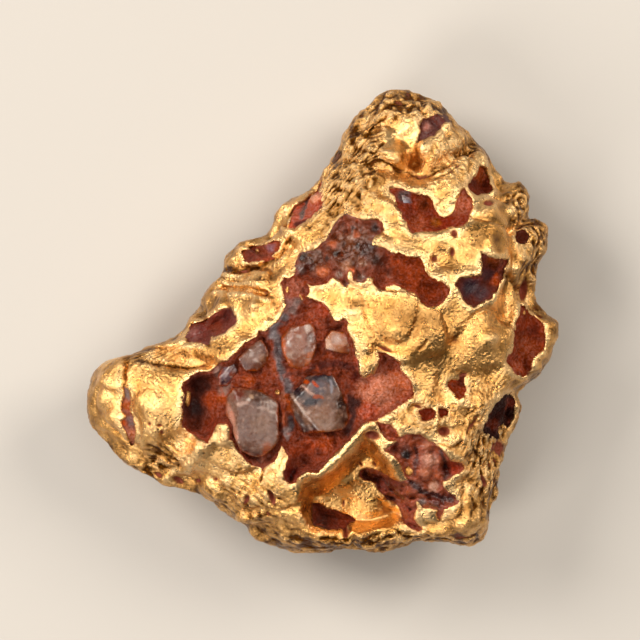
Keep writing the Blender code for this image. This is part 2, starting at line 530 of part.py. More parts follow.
def column(name, home, ring, low, high, frame):
    """An upright column over an outline, from low to high along its frame's Z, as a mesh."""
    curve = bpy.data.curves.new(name, "CURVE")
    curve.dimensions = "2D"
    curve.fill_mode = "BOTH"
    curve.extrude = (high - low) / 2 * MM
    spline = curve.splines.new("POLY")
    spline.points.add(len(ring) - 1)
    for point, (x, y) in zip(spline.points, ring):
        point.co = (x * MM, y * MM, 0, 1)
    spline.use_cyclic_u = True
    outline = add_object(name + "_outline", curve, home)
    placed = frame @ Matrix.Translation((0, 0, (low + high) / 2))
    placed.translation *= MM
    mesh = bpy.data.meshes.new_from_object(outline.evaluated_get(bpy.context.evaluated_depsgraph_get()))
    bm = bmesh.new()
    bm.from_mesh(mesh)
    bmesh.ops.remove_doubles(bm, verts=bm.verts[:], dist=1e-6)
    bmesh.ops.transform(bm, matrix=placed, verts=bm.verts[:])
    bmesh.ops.recalc_face_normals(bm, faces=bm.faces[:])
    bm.to_mesh(mesh)
    bm.free()
    bpy.data.objects.remove(outline)
    return add_object(name, mesh, home)


def skin_height(thing, ring, frame):
    """The lowest height of the skin over an outline and half-way to its middle, along the frame's Z."""
    inward = -(frame.to_3x3() @ Vector((0, 0, 1)))
    heights = []
    edge = np.array(ring)
    for x, y in [*edge, *((edge + edge.mean(axis=0)) / 2)]:
        start = frame @ Vector((x, y, SKY))
        hit, place, _, _ = thing.ray_cast(start * MM, inward)
        if hit:
            heights.append((frame.inverted() @ (place / MM)).z)
    return min(heights)


def guide(thing):
    """Mark a solid as a cutter, which the model leaves out."""
    thing.hide_render = True
    thing.display_type = "WIRE"
    return thing


def fill_pocket(name, gold, whole_skin, filling_skin, cutters, parts, rings, sink, frame):
    """Cut one pocket, of one or more outlines, into the gold, and add the ironstone that fills it."""
    floor = min(skin_height(whole_skin, ring, frame) for ring in rings) - sink - POCKET_MARGIN
    piece = None
    for index, ring in enumerate(rings):
        cutter = guide(column(f"cut_{name}_{index}", cutters, ring, floor, SKY, frame))
        boolean(gold, cutter, "DIFFERENCE")
        core = column(f"ironstone_{name}", parts, moved_ring(ring, -GAP), floor + GAP, SKY, frame)
        if piece is None:
            piece = core
        else:
            boolean(piece, guide(core), "UNION")
            bpy.data.objects.remove(core)
    boolean(piece, filling_skin, "INTERSECT")
    drop_chips(piece)
    piece.data.materials.clear()
    piece.data.materials.append(material("ironstone"))
    return piece, floor


def quartz_grain(name, home, ring, low, top, facets, outwards=0.0):
    """A prism over an outline, its top cut by slanted facets; grown outwards, it is the grain's bed."""
    solid = column(name, home, moved_ring(ring, outwards), low - outwards, top + outwards, Matrix())
    centre = np.mean(ring, axis=0)
    bm = bmesh.new()
    bm.from_mesh(solid.data)
    for azimuth, slope, drop in facets:
        tilt = math.radians(slope)
        side = Vector((math.cos(math.radians(azimuth)), math.sin(math.radians(azimuth)), 0))
        facing = side * math.sin(tilt) + Vector((0, 0, math.cos(tilt)))
        edge = max((np.array(ring) - centre) @ side.xy)
        place = Vector((*centre, top - drop)) + side * edge * FACET_REACH + facing * outwards
        whole = bm.verts[:] + bm.edges[:] + bm.faces[:]
        bmesh.ops.bisect_plane(bm, geom=whole, plane_co=place * MM, plane_no=facing, clear_outer=True)
        bmesh.ops.holes_fill(bm, edges=[rim for rim in bm.edges if rim.is_boundary])
    bmesh.ops.recalc_face_normals(bm, faces=bm.faces[:])
    bm.to_mesh(solid.data)
    bm.free()
    return solid


def drop_chips(thing):
    """Keep the largest body of a solid, without the chips that a cut leaves loose."""
    bm = bmesh.new()
    bm.from_mesh(thing.data)
    left = set(bm.verts)
    bodies = []
    while left:
        body = {left.pop()}
        rim = list(body)
        while rim:
            near = {edge.other_vert(vertex) for vertex in rim for edge in vertex.link_edges}
            rim = list(near - body)
            body |= near
        left -= body
        bodies.append(body)
    largest = max(bodies, key=len)
    bmesh.ops.delete(bm, geom=[vertex for vertex in bm.verts if vertex not in largest], context="VERTS")
    bm.to_mesh(thing.data)
    bm.free()


def add_grains(matrix_piece, gold, cutters, parts, floor):
    """Bed the quartz grains in the matrix of the main hollow."""
    for name, (below, ring, facets) in GRAINS.items():
        centre = np.mean(ring, axis=0)
        _, place, _, _ = gold.ray_cast(Vector((*centre, SKY)) * MM, Vector((0, 0, -1)))
        top = place.z / MM - below
        low = floor + GRAIN_BED
        bed = guide(quartz_grain(f"bed_{name}", cutters, ring, low, top + 4, [], GAP))
        boolean(matrix_piece, bed, "DIFFERENCE")
        grain = quartz_grain(name, parts, ring, low, top, facets)
        rounding = grain.modifiers.new("worn edges", "BEVEL")
        rounding.width = GRAIN_BEVEL * MM
        rounding.segments = 1
        rounding.limit_method = "ANGLE"
        rounding.angle_limit = math.radians(BEVEL_ANGLE)
        grain.data.materials.clear()
        grain.data.materials.append(material("vein_quartz"))


def main():
    for thing in list(bpy.data.objects):
        bpy.data.objects.remove(thing)
    parts = collection("gold nugget")
    cutters = collection("cutters")
    ground = rest_plane(cutters)
    gold = skin_solid("gold_nugget", parts, GOLD_TRIANGLES, ground)
    whole_skin = guide(add_object("whole_skin", gold.data.copy(), cutters))
    filling_skin = guide(skin_solid("filling_skin", cutters, FILLING_TRIANGLES, ground, filling_sink))
    matrix_piece, floor = fill_pocket(
        "matrix", gold, whole_skin, filling_skin, cutters, parts, [HOLLOW, PATCH], HOLLOW_SINK, UPRIGHT)
    for name, frame, ring, sink, _ in all_pockets():
        fill_pocket(name, gold, whole_skin, filling_skin, cutters, parts, [ring], sink, frame)
    add_grains(matrix_piece, whole_skin, cutters, parts, floor + WAIST_HEIGHT)
    drop_chips(gold)
    gold.data.materials.clear()
    gold.data.materials.append(material("native_gold"))


main()
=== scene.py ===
import bpy
import math
from itertools import product
import numpy as np
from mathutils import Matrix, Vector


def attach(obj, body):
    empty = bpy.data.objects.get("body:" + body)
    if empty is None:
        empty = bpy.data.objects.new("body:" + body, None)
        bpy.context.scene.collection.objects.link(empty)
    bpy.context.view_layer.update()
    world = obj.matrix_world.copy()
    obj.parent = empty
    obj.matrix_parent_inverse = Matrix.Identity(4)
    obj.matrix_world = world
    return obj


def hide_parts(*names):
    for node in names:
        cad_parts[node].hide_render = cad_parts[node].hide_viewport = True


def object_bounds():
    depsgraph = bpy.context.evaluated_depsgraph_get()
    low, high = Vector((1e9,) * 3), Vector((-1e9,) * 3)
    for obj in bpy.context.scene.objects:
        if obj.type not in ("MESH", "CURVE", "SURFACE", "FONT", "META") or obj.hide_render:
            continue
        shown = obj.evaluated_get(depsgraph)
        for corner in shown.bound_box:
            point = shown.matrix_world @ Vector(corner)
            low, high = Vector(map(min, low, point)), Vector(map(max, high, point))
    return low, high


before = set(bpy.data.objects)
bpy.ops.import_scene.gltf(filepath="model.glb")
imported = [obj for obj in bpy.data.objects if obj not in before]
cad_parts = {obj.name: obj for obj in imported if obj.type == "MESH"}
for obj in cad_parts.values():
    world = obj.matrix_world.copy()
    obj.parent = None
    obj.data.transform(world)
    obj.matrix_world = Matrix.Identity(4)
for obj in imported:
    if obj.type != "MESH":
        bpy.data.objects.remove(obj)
cadLow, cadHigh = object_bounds()

mm = 0.001
# the gold, in mm: waves are height, count and phase, and layers of noise are height, cell size and seed
goldSkin = {
    "heart": (2.4, -2.45), "waist": 8.2, "rise": 10.6, "drop": 8.5,
    "sidePower": 0.78, "crownPower": 0.88, "bellyPower": 0.92,
    "noseThinning": 0.27, "crownThinning": 0.25, "footThinning": 0.12,
    "waistWaves": [(1.1, 2, 0.7), (0.8, 3, 2.0), (0.5, 7, 0.0)],
    "lumps": [(1.7, 8.0, 1), (0.9, 3.6, 2)], "bellyLumps": [(0.9, 6.5, 9)],
    "creases": [(1.0, 6.0, 3)], "creaseDepth": 0.8, "creaseWidth": 0.16,
    "flankDints": [(3.2, 5.6, 5), (1.5, 2.8, 6)], "flankSwell": 0.05, "rimShare": 0.15,
    "pitting": [(0.2, 1.9, 4)], "outlineSteps": 6, "bluntBlur": 41, "edgeSharpness": 5, "halfWidth": 21,
    "thinFrom": 6, "footFrom": 10, "thinTo": 23, "normalBlur": 4,
    "troughDepth": 3.0, "troughSlope": 1.7,
    "around": 940, "topRings": 262, "bellyRings": 118, "triangles": 192000,
}

# the outline as seen from above, in millimetres
outline = [
    (23.1, -2.4), (23.6, -0.6), (22.6, 0.9), (21.5, 2.6), (21.5, 4.5), (21.7, 5.8), (22.5, 7.0),
    (22.6, 9.2), (22.0, 10.2), (20.9, 10.4), (21.0, 11.5), (20.9, 12.8), (20.1, 13.9), (18.7, 13.8),
    (17.6, 15.4), (16.5, 17.4), (14.8, 18.7), (13.4, 19.8), (13.1, 20.4), (11.4, 22.2), (9.5, 23.0),
    (6.9, 23.0), (5.4, 22.2), (4.5, 21.2), (3.1, 19.8), (2.2, 18.6), (2.0, 17.8), (0.8, 15.8),
    (-0.4, 13.8), (-1.6, 12.6), (-2.9, 12.2), (-4.0, 11.4), (-4.6, 10.6), (-4.7, 9.8), (-5.4, 8.6),
    (-6.5, 8.2), (-7.9, 7.8), (-9.0, 7.0), (-9.6, 6.2), (-10.0, 4.6), (-11.7, 2.6), (-12.3, 1.4),
    (-13.2, 0.2), (-13.9, -1.0), (-15.1, -1.9), (-18.4, -3.1), (-21.9, -4.4), (-23.0, -5.7),
    (-23.4, -8.0), (-23.1, -10.1), (-22.1, -11.6), (-20.7, -13.4), (-18.7, -14.8), (-16.8, -16.0),
    (-14.6, -16.8), (-12.5, -17.4), (-10.8, -18.2), (-9.5, -19.4), (-7.9, -20.4), (-6.6, -21.8),
    (-4.9, -22.6), (-1.2, -23.2), (2.4, -23.2), (6.0, -23.2), (9.6, -22.2), (12.8, -22.3),
    (14.1, -22.6), (15.1, -22.6), (16.0, -21.8), (16.7, -20.4), (17.1, -18.4), (17.7, -17.6),
    (17.9, -15.3), (18.6, -11.8), (19.4, -10.4), (20.0, -8.8), (19.6, -7.1), (21.4, -5.8), (22.6, -4.2),
]

# mounds and dents of the upper side: x, y, half width, half length, turn, height
mounds = {
    "noseTip": (-21.6, -8.6, 2.2, 4.2, 0, 0.9), "noseBack": (-16.8, -8.8, 3.2, 5.0, 0, 1.4),
    "southWest": (-6.5, -17.5, 4.5, 3.0, 0, 0.9), "middle": (8.0, -1.0, 6.0, 5.0, 0, 0.7),
    "northEast": (16.6, 7.5, 2.6, 5.0, 0, 1.1), "crown": (8.0, 20.0, 4.5, 3.5, 0, 1.3),
    "crownDip": (7.9, 18.5, 2.2, 1.3, 0, -1.1), "glowHole": (9.4, 15.7, 0.9, 0.9, 0, -2.0),
    "glowBasin": (8.8, 17.0, 0.9, 1.6, 0, -0.8), "westRidge": (4.2, 13.6, 2.2, 4.5, -20, 0.8),
    "veeWedge": (12.5, 13.2, 1.5, 1.5, 0, 0.6), "bead": (-3.7, 10.6, 1.2, 1.3, 0, 1.3),
    "bridgeLump": (8.0, -9.9, 1.7, 1.4, 0, 0.8), "southEastDome": (14.4, -19.6, 2.4, 2.2, 0, 1.2),
    "curledLobe": (19.5, 12.3, 1.1, 1.3, 0, 0.7), "earLobe": (21.6, 8.6, 1.3, 1.7, 0, 1.0),
    "lowerLobe": (20.3, 4.6, 1.3, 1.5, 0, 0.6), "tongueLump": (4.7, -4.4, 1.1, 1.0, 0, 0.6),
    "hollowLump": (3.6, -1.6, 1.0, 1.4, 0, 0.6), "eastBoss": (16.8, -1.9, 1.4, 1.2, 0, 0.6),
    "southBulb": (3.6, -20.9, 1.1, 0.9, 0, 1.0), "eastLedge": (21.6, 5.5, 2.2, 7.5, 0, -1.7),
    "terraceSlope": (-9.6, 4.0, 3.0, 5.5, -50, -1.4), "southEastSlope": (16.5, -13.5, 2.2, 4.5, 0, -1.0),
}

# ridges and creases of the upper side: height, half width, the line they follow
folds = {
    "noseRidge": (1.2, 0.9, [(-14.6, -15.4), (-11.3, -12.1)]),
    "noseValley": (-0.9, 1.2, [(-17.5, -13.6), (-13.2, -11.6)]),
    "noseCrease": (-1.2, 0.8, [(-17.2, -3.4), (-14.1, -3.9), (-10.8, -4.4)]),
    "terraceOne": (-0.8, 0.6, [(-10.8, 3.1), (-8.6, 2.7), (-5.9, 2.5)]),
    "terraceTwo": (-1.0, 0.7, [(-9.8, 5.1), (-7.1, 5.1), (-4.9, 5.6), (-3.0, 7.4)]),
    "terraceStep": (0.7, 0.7, [(-9.6, 4.1), (-6.0, 4.3)]),
    "terraceFoot": (0.6, 0.8, [(-11.0, 1.9), (-5.8, 1.6)]),
    "crownFold": (-0.9, 0.7, [(5.5, 15.5), (8.0, 14.8), (10.2, 14.2), (11.9, 15.4), (14.9, 17.2)]),
    "crownRoll": (0.8, 0.7, [(2.7, 17.4), (3.0, 18.9), (4.3, 20.4), (6.0, 21.6)]),
    "crownCrease": (-0.7, 0.6, [(3.6, 16.8), (4.3, 18.9), (5.7, 20.4)]),
    "eastCrease": (-1.5, 0.9, [(18.6, 12.4), (18.8, 8.0), (18.6, 4.0), (18.5, 0.5)]),
    "eastBand": (0.8, 1.2, [(18.4, -6.0), (15.9, -8.5), (14.8, -11.5)]),
    "eastValley": (-0.8, 0.9, [(15.6, -11.6), (14.6, -14.0)]),
    "ropeRim": (0.8, 0.6, [(-2.1, -15.6), (-0.2, -15.1), (1.9, -13.5), (3.2, -11.8), (4.5, -10.7)]),
    "southRim": (0.9, 0.8, [(-1.9, -21.0), (1.5, -22.0), (5.0, -22.1), (8.0, -21.6), (10.8, -21.3)]),
    "curl": (0.7, 0.6, [(12.3, -12.6), (12.9, -13.4), (14.0, -13.4), (14.9, -12.5)]),
}

trough = [
    (-1.9, -16.2), (0.0, -15.6), (2.2, -13.9), (3.8, -12.0), (5.0, -11.2), (5.8, -12.4), (6.9, -13.6),
    (7.9, -15.6), (8.9, -17.5), (9.3, -19.6), (8.7, -20.8), (6.4, -21.0), (2.5, -21.2), (-1.2, -20.7),
    (-2.4, -19.0), (-2.4, -17.4),
]


# a soft ramp from 0 at low to 1 at high: three times the square of the share less twice its cube
def softStep(low, high, values):
    share = np.clip((values - low) / (high - low), 0.0, 1.0)
    return share * share * (3.0 - 2.0 * share)


# a Catmull-Rom curve through a closed ring of points
def closedCurve(points, steps):
    ring = np.array(points, float)
    before, after, beyond = np.roll(ring, 1, 0), np.roll(ring, -1, 0), np.roll(ring, -2, 0)
    share = (np.arange(steps) / steps)[None, :, None]
    a, b, c, d = (part[:, None, :] for part in (before, ring, after, beyond))
    curve = 0.5 * (2 * b + (c - a) * share + (2 * a - 5 * b + 4 * c - d) * share ** 2
                   + (3 * b - a - 3 * c + d) * share ** 3)
    return curve.reshape(-1, 2)


# three whole numbers from 0 to 1023 for each corner of a lattice: its counts and the seed, each times a
# large number, are added, and the bits of the sum are stirred and cut in three
def latticeNumbers(corners, seed):
    key = corners @ np.array([73856093, 19349663, 83492791]) + seed * 2654435761
    key = (key ^ (key >> 13)) * 1274126177
    key = key ^ (key >> 16)
    return [key >> shift & 1023 for shift in (0, 10, 20)]


# gradient noise of about -1 to 1: random slopes at the corners of a lattice of cubes, blended smoothly
def noise(points, cell, seed):
    place = points / cell
    cornerZero = np.floor(place).astype(np.int64)
    part = place - cornerZero
    blend = part ** 3 * (part * (part * 6 - 15) + 10)
    total = np.zeros(len(points))
    for corner in product((0, 1), repeat=3):
        dot = np.zeros(len(points))
        weight = np.ones(len(points))
        for axis, slope in enumerate(latticeNumbers(cornerZero + corner, seed)):
            dot += (slope / 511.5 - 1) * (part[:, axis] - corner[axis])
            weight *= blend[:, axis] if corner[axis] else 1 - blend[:, axis]
        total += weight * dot
    return total * 1.5


# the sum of some layers of noise, each a height, a cell size and a seed
def layers(points, rows):
    return sum(height * noise(points, cell, seed) for height, cell, seed in rows)


# places moved sideways by layers of noise, each a distance, a cell size and the first of its two seeds
def drifted(places, points, rows):
    for distance, cell, seed in rows:
        move = np.stack([noise(points, cell, seed), noise(points, cell, seed + 1)], axis=1)
        places = places + distance * move
    return places


# sharp crests where noise passes zero: one less a multiple of its size, not below zero
def crests(points, cell, seed, sharpness=3.0):
    return np.maximum(0, 1 - sharpness * np.abs(noise(points, cell, seed)))


# round lumps packed side by side: a dome over the nearest of the points scattered one to a cell
def bubbles(points, cell, seed):
    place = points / cell
    home = np.floor(place).astype(np.int64)
    nearest = np.full(len(points), 9.0)
    for corner in product((-1, 0, 1), repeat=3):
        cellHere = home + corner
        centre = cellHere + np.stack(latticeNumbers(cellHere, seed), axis=1) / 1023
        nearest = np.minimum(nearest, ((place - centre) ** 2).sum(axis=1))
    return np.sqrt(np.maximum(0, 1 - nearest / 0.75))


# distance to a line of points: the least of the distances to its straight parts
def lineDistance(places, points):
    best = np.full(len(places), 1e9)
    for a, b in zip(points[:-1], points[1:]):
        run = np.subtract(b, a)
        share = np.clip((places - a) @ run / (run @ run), 0, 1)
        best = np.minimum(best, np.linalg.norm(places - a - share[:, None] * run, axis=1))
    return best


# how deep each place lies inside a closed ring, negative outside: distance to the ring, signed by crossings
def depthInside(places, ring):
    points = [tuple(p) for p in ring]
    distance = lineDistance(places, points + points[:1])
    inside = np.zeros(len(places), bool)
    x, y = places[:, 0], places[:, 1]
    for (ax, ay), (bx, by) in zip(points, points[1:] + points[:1]):
        if ay != by:
            inside ^= ((ay > y) != (by > y)) & (x < ax + (y - ay) * (bx - ax) / (by - ay))
    return np.where(inside, distance, -distance)


# depth inside a ring, worked out only for the places near it; far ones get minus nine
def nearDepth(places, ring, reach=1.6):
    points = np.array(ring)
    near = np.all((places > points.min(0) - reach) & (places < points.max(0) + reach), axis=1)
    depth = np.full(len(places), -9.0)
    if near.any():
        depth[near] = depthInside(places[near], points)
    return depth


# turned Gaussian hills: height times e to the minus squared distance in half widths
def hills(places, rows):
    total = np.zeros(len(places))
    for x, y, wide, long, turn, height in rows:
        angle = math.radians(turn)
        across = (places[:, 0] - x) * math.cos(angle) + (places[:, 1] - y) * math.sin(angle)
        along = (places[:, 1] - y) * math.cos(angle) - (places[:, 0] - x) * math.sin(angle)
        total += height * np.exp(-((across / wide) ** 2 + (along / long) ** 2))
    return total


# ridges and creases: height times e to the minus squared distance from a line in half widths
def ridges(places, rows):
    total = np.zeros(len(places))
    for height, width, line in rows:
        points = np.array(line)
        near = np.all((places > points.min(0) - 3 * width) & (places < points.max(0) + 3 * width), axis=1)
        total[near] += height * np.exp(-((lineDistance(places[near], line) / width) ** 2))
    return total


# the skin for unit directions: the outline's radius times a power of the latitude's cosine, domed by a
# power of its sine above and below the waist, raised by the relief and pushed outwards by layers of noise
def skinPoints(directions):
    g = goldSkin
    offsets = closedCurve(outline, g["outlineSteps"]) - np.array(g["heart"])
    angles = np.arctan2(offsets[:, 1], offsets[:, 0])
    order = np.argsort(angles)
    angles, radii = angles[order], np.hypot(offsets[:, 0], offsets[:, 1])[order]
    even = np.ones(g["bluntBlur"]) / g["bluntBlur"]
    blunt = np.convolve(np.tile(radii, 3), even, "same")[len(radii):2 * len(radii)]
    turn = np.arctan2(directions[:, 1], directions[:, 0])
    lift = directions[:, 2]
    share = np.hypot(directions[:, 0], directions[:, 1]) ** g["sidePower"]
    sharpReach = np.interp(turn, angles, radii, period=math.tau)
    bluntReach = np.interp(turn, angles, blunt, period=math.tau)
    reach = share * (bluntReach + (sharpReach - bluntReach) * share ** g["edgeSharpness"])
    around = np.stack([np.cos(turn), np.sin(turn)], axis=1)
    flat = around * reach[:, None] + g["heart"]
    waist = sum(size * np.sin(count * turn + phase) for size, count, phase in g["waistWaves"])
    thin = 1 - g["noseThinning"] * softStep(g["thinFrom"], g["thinTo"], -flat[:, 0])
    thin -= g["crownThinning"] * softStep(g["thinFrom"], g["thinTo"], flat[:, 1])
    thin -= g["footThinning"] * softStep(g["footFrom"], g["thinTo"], -flat[:, 1])
    rise = g["rise"] * np.abs(lift) ** g["crownPower"]
    drop = g["drop"] * np.abs(lift) ** g["bellyPower"]
    height = g["waist"] + waist * (1 - np.abs(lift)) ** 2 + np.where(lift > 0, rise, -drop) * thin
    relief = hills(flat, mounds.values()) + ridges(flat, folds.values())
    relief -= g["troughDepth"] * softStep(0, g["troughSlope"], nearDepth(flat, trough))
    height += relief * softStep(0.05, 0.4, lift)
    points = np.column_stack([flat, height])
    outward = np.column_stack([around * share[:, None] ** 2, lift])
    outward /= np.linalg.norm(outward, axis=1)[:, None]
    calmTop = 1 - 0.6 * softStep(0.3, 0.7, lift)
    lumps = layers(points, g["lumps"]) + layers(points, g["bellyLumps"]) * softStep(0.3, 0.7, -lift)
    creases = -g["creaseDepth"] * softStep(g["creaseWidth"], 0.0, np.abs(layers(points, g["creases"])))
    dints = np.minimum(layers(points, g["flankDints"]), g["flankSwell"])
    flank = 1 - softStep(0.12, 0.5, np.abs(lift))
    rimCalm = g["rimShare"] + (1 - g["rimShare"]) * softStep(0.0, 0.22, np.abs(lift))
    push = (lumps + creases) * calmTop * (1 - flank) + (dints + 0.5 * creases) * flank * rimCalm
    push += layers(points, g["pitting"]) * (1 - 0.6 * flank)
    return points + outward * push[:, None]


# lifts of the rings: even steps along the profile of a dome, from its pole to its waist
def ringLifts(count, rise, power):
    colatitude = np.linspace(0, math.pi / 2, 4000)
    reach = goldSkin["halfWidth"] * np.sin(colatitude) ** goldSkin["sidePower"]
    height = rise * np.cos(colatitude) ** power
    length = np.concatenate([[0], np.cumsum(np.hypot(np.diff(reach), np.diff(height)))])
    steps = np.linspace(0, length[-1], count + 1)[1:]
    return np.clip(np.cos(np.interp(steps, length, colatitude)), 0, 1)


# faces of rings of points between two poles: quads between rings, a fan at each pole
def ballFaces(rings, around):
    index = 1 + np.arange(rings * around).reshape(rings, around)
    turned = np.roll(index, -1, axis=1)
    quads = np.stack([index[:-1], index[1:], turned[1:], turned[:-1]], axis=-1).reshape(-1, 4)
    last = rings * around + 1
    topFan = np.stack([np.zeros(around, int), index[0], turned[0]], axis=-1)
    lowFan = np.stack([np.full(around, last), turned[-1], index[-1]], axis=-1)
    return quads, np.concatenate([topFan, lowFan])


# unit directions of rings between two poles, for the sines of their latitudes
def ballDirections(lifts, around):
    turn = np.arange(around) / around * math.tau
    flat = np.sqrt(1 - lifts ** 2)[:, None]
    rings = np.stack([flat * np.cos(turn), flat * np.sin(turn), np.repeat(lifts[:, None], around, 1)], -1)
    return np.concatenate([[[1e-9, 0, 1]], rings.reshape(-1, 3), [[1e-9, 0, -1]]])


# a smooth shaded mesh object: points in millimetres, quads and triangles, with named values at its points
def meshPiece(name, points, quads, triangles, values=None):
    mesh = bpy.data.meshes.new(name)
    mesh.vertices.add(len(points))
    mesh.vertices.foreach_set("co", (points * mm).astype(np.float32).ravel())
    corners = np.concatenate([quads.ravel(), triangles.ravel()])
    sizes = np.concatenate([np.full(len(quads), 4), np.full(len(triangles), 3)])
    mesh.loops.add(len(corners))
    mesh.loops.foreach_set("vertex_index", corners.astype(np.int32))
    mesh.polygons.add(len(sizes))
    mesh.polygons.foreach_set("loop_start", np.concatenate([[0], np.cumsum(sizes)[:-1]]).astype(np.int32))
    mesh.update(calc_edges=True)
    mesh.validate()
    mesh.shade_smooth()
    for key, data in (values or {}).items():
        kind = "FLOAT_COLOR" if data.ndim == 2 else "FLOAT"
        made = mesh.attributes.new(key, kind, "POINT")
        if data.ndim == 2:
            full = np.column_stack([data, np.ones(len(data))])
            made.data.foreach_set("color", full.astype(np.float32).ravel())
        else:
            made.data.foreach_set("value", data.astype(np.float32))
    piece = bpy.data.objects.new(name, mesh)
    bpy.context.scene.collection.objects.link(piece)
    return piece


# thin a mesh to about a number of triangles
def thinned(piece, triangles):
    count = len(piece.data.loops) - 2 * len(piece.data.polygons)
    if count > triangles:
        step = piece.modifiers.new("thin", "DECIMATE")
        step.ratio = triangles / count
        mesh = bpy.data.meshes.new_from_object(piece.evaluated_get(bpy.context.evaluated_depsgraph_get()))
        piece.modifiers.clear()
        piece.data = mesh
        mesh.name = piece.name
        mesh.shade_smooth()
    return piece


# linear colour of a hex sRGB colour, by the standard's two-part curve
def hexColour(code):
    parts = np.array([int(code[i:i + 2], 16) for i in (1, 3, 5)]) / 255
    return np.where(parts <= 0.04045, parts / 12.92, ((parts + 0.055) / 1.055) ** 2.4)


# a box blur over the grid's rings and around them: differences of running sums, wrapped around
def blurred(field, half):
    wrapped = np.concatenate([field[:, -half - 1:], field, field[:, :half]], axis=1)
    sums = np.cumsum(wrapped, axis=1)
    field = (sums[:, 2 * half + 1:] - sums[:, :-2 * half - 1]) / (2 * half + 1)
    padded = np.concatenate([np.repeat(field[:1], half + 1, 0), field, np.repeat(field[-1:], half, 0)])
    sums = np.cumsum(padded, axis=0)
    return (sums[2 * half + 1:] - sums[:-2 * half - 1]) / (2 * half + 1)


coarse = 1
around = goldSkin["around"] // coarse
topLifts = ringLifts(goldSkin["topRings"] // coarse, goldSkin["rise"], goldSkin["crownPower"])
lowLifts = ringLifts(goldSkin["bellyRings"] // coarse, goldSkin["drop"], goldSkin["bellyPower"])
lifts = np.concatenate([topLifts, -lowLifts[-2::-1]])
directions = ballDirections(lifts, around)
skin = skinPoints(directions)
skinQuads, skinFans = ballFaces(len(lifts), around)
# which way the skin faces: across the rings times along them, blurred
skinRings = skin[1:-1].reshape(len(lifts), around, 3)
acrossRings = np.gradient(skinRings, axis=0)
alongRings = np.roll(skinRings, -1, axis=1) - np.roll(skinRings, 1, axis=1)
facing = np.cross(acrossRings, alongRings)
soften = goldSkin["normalBlur"] // coarse
facing = np.stack([blurred(facing[..., axis], soften) for axis in range(3)], axis=-1)
facing /= np.linalg.norm(facing, axis=-1)[..., None] + 1e-12
normals = np.concatenate([[[0, 0, 1]], facing.reshape(-1, 3), [[0, 0, -1]]])
flatPlaces = skin[:, :2]
print("skin", len(skin), flush=True)


# the frame of a flank pocket: origin, and its x, y and z axes as rows; z looks out of the flank
def flankFrame(azimuth, elevation, height):
    turn, tilt = math.radians(azimuth + 90), math.radians(90 - elevation)
    across = [math.cos(turn), math.sin(turn), 0]
    upward = [-math.sin(turn) * math.cos(tilt), math.cos(turn) * math.cos(tilt), math.sin(tilt)]
    return np.array([*goldSkin["heart"], height]), np.array([across, upward, np.cross(across, upward)])


# an uneven oval ring: an ellipse with waves on its radius
def blot(wide, high, seed):
    angles = np.arange(33) / 33 * math.tau
    radius = 1 + 0.14 * np.sin(2 * angles + seed) + 0.12 * np.sin(3 * angles + 2.3 * seed)
    return list(zip(wide * radius * np.cos(angles), high * radius * np.sin(angles)))


upright = (np.array([0, 0, goldSkin["waist"]]), np.eye(3))
below = np.array([[1, 0, 0], [0, -1, 0], [0, 0, -1]])  # z looks down, for the underside

# the dark nodular patch: its ring, which the third ring of the matrix shares on its east side
darkPatch = [
    (-2.7, 4.7), (-2.5, 5.9), (-2.2, 6.7), (-1.5, 6.9), (-0.7, 6.9), (-0.2, 7.5), (0.4, 7.9),
    (0.7, 8.6), (1.1, 9.3), (1.7, 10.0), (2.6, 10.6), (3.1, 10.3), (3.7, 10.1), (4.5, 9.9),
    (5.2, 10.0), (5.8, 10.0), (6.1, 9.5), (6.2, 9.0), (5.6, 8.5), (5.1, 8.1), (5.0, 7.4),
    (5.7, 7.3), (6.4, 7.1), (6.9, 6.7), (7.8, 6.7), (8.7, 6.3), (9.7, 6.2), (10.1, 5.7),
    (10.2, 4.9), (10.7, 4.3), (11.5, 4.0), (12.1, 3.7), (12.6, 3.2), (12.5, 2.5), (12.1, 1.8),
    (11.4, 1.4), (10.6, 1.4), (10.0, 1.8), (9.6, 2.4), (9.0, 2.9), (8.1, 3.2), (7.2, 3.6),
    (6.4, 3.3), (5.7, 3.2), (5.2, 3.6), (5.2, 4.2), (4.8, 4.4), (4.4, 3.9), (3.7, 3.7), (3.2, 4.1),
    (3.1, 4.8), (2.8, 5.0), (2.6, 4.4), (2.8, 3.7), (2.4, 3.4), (1.8, 4.0), (1.2, 4.3), (0.7, 3.8),
    (-0.1, 3.5), (-0.9, 3.5), (-1.5, 3.7), (-2.4, 3.4), (-3.4, 3.6),
]

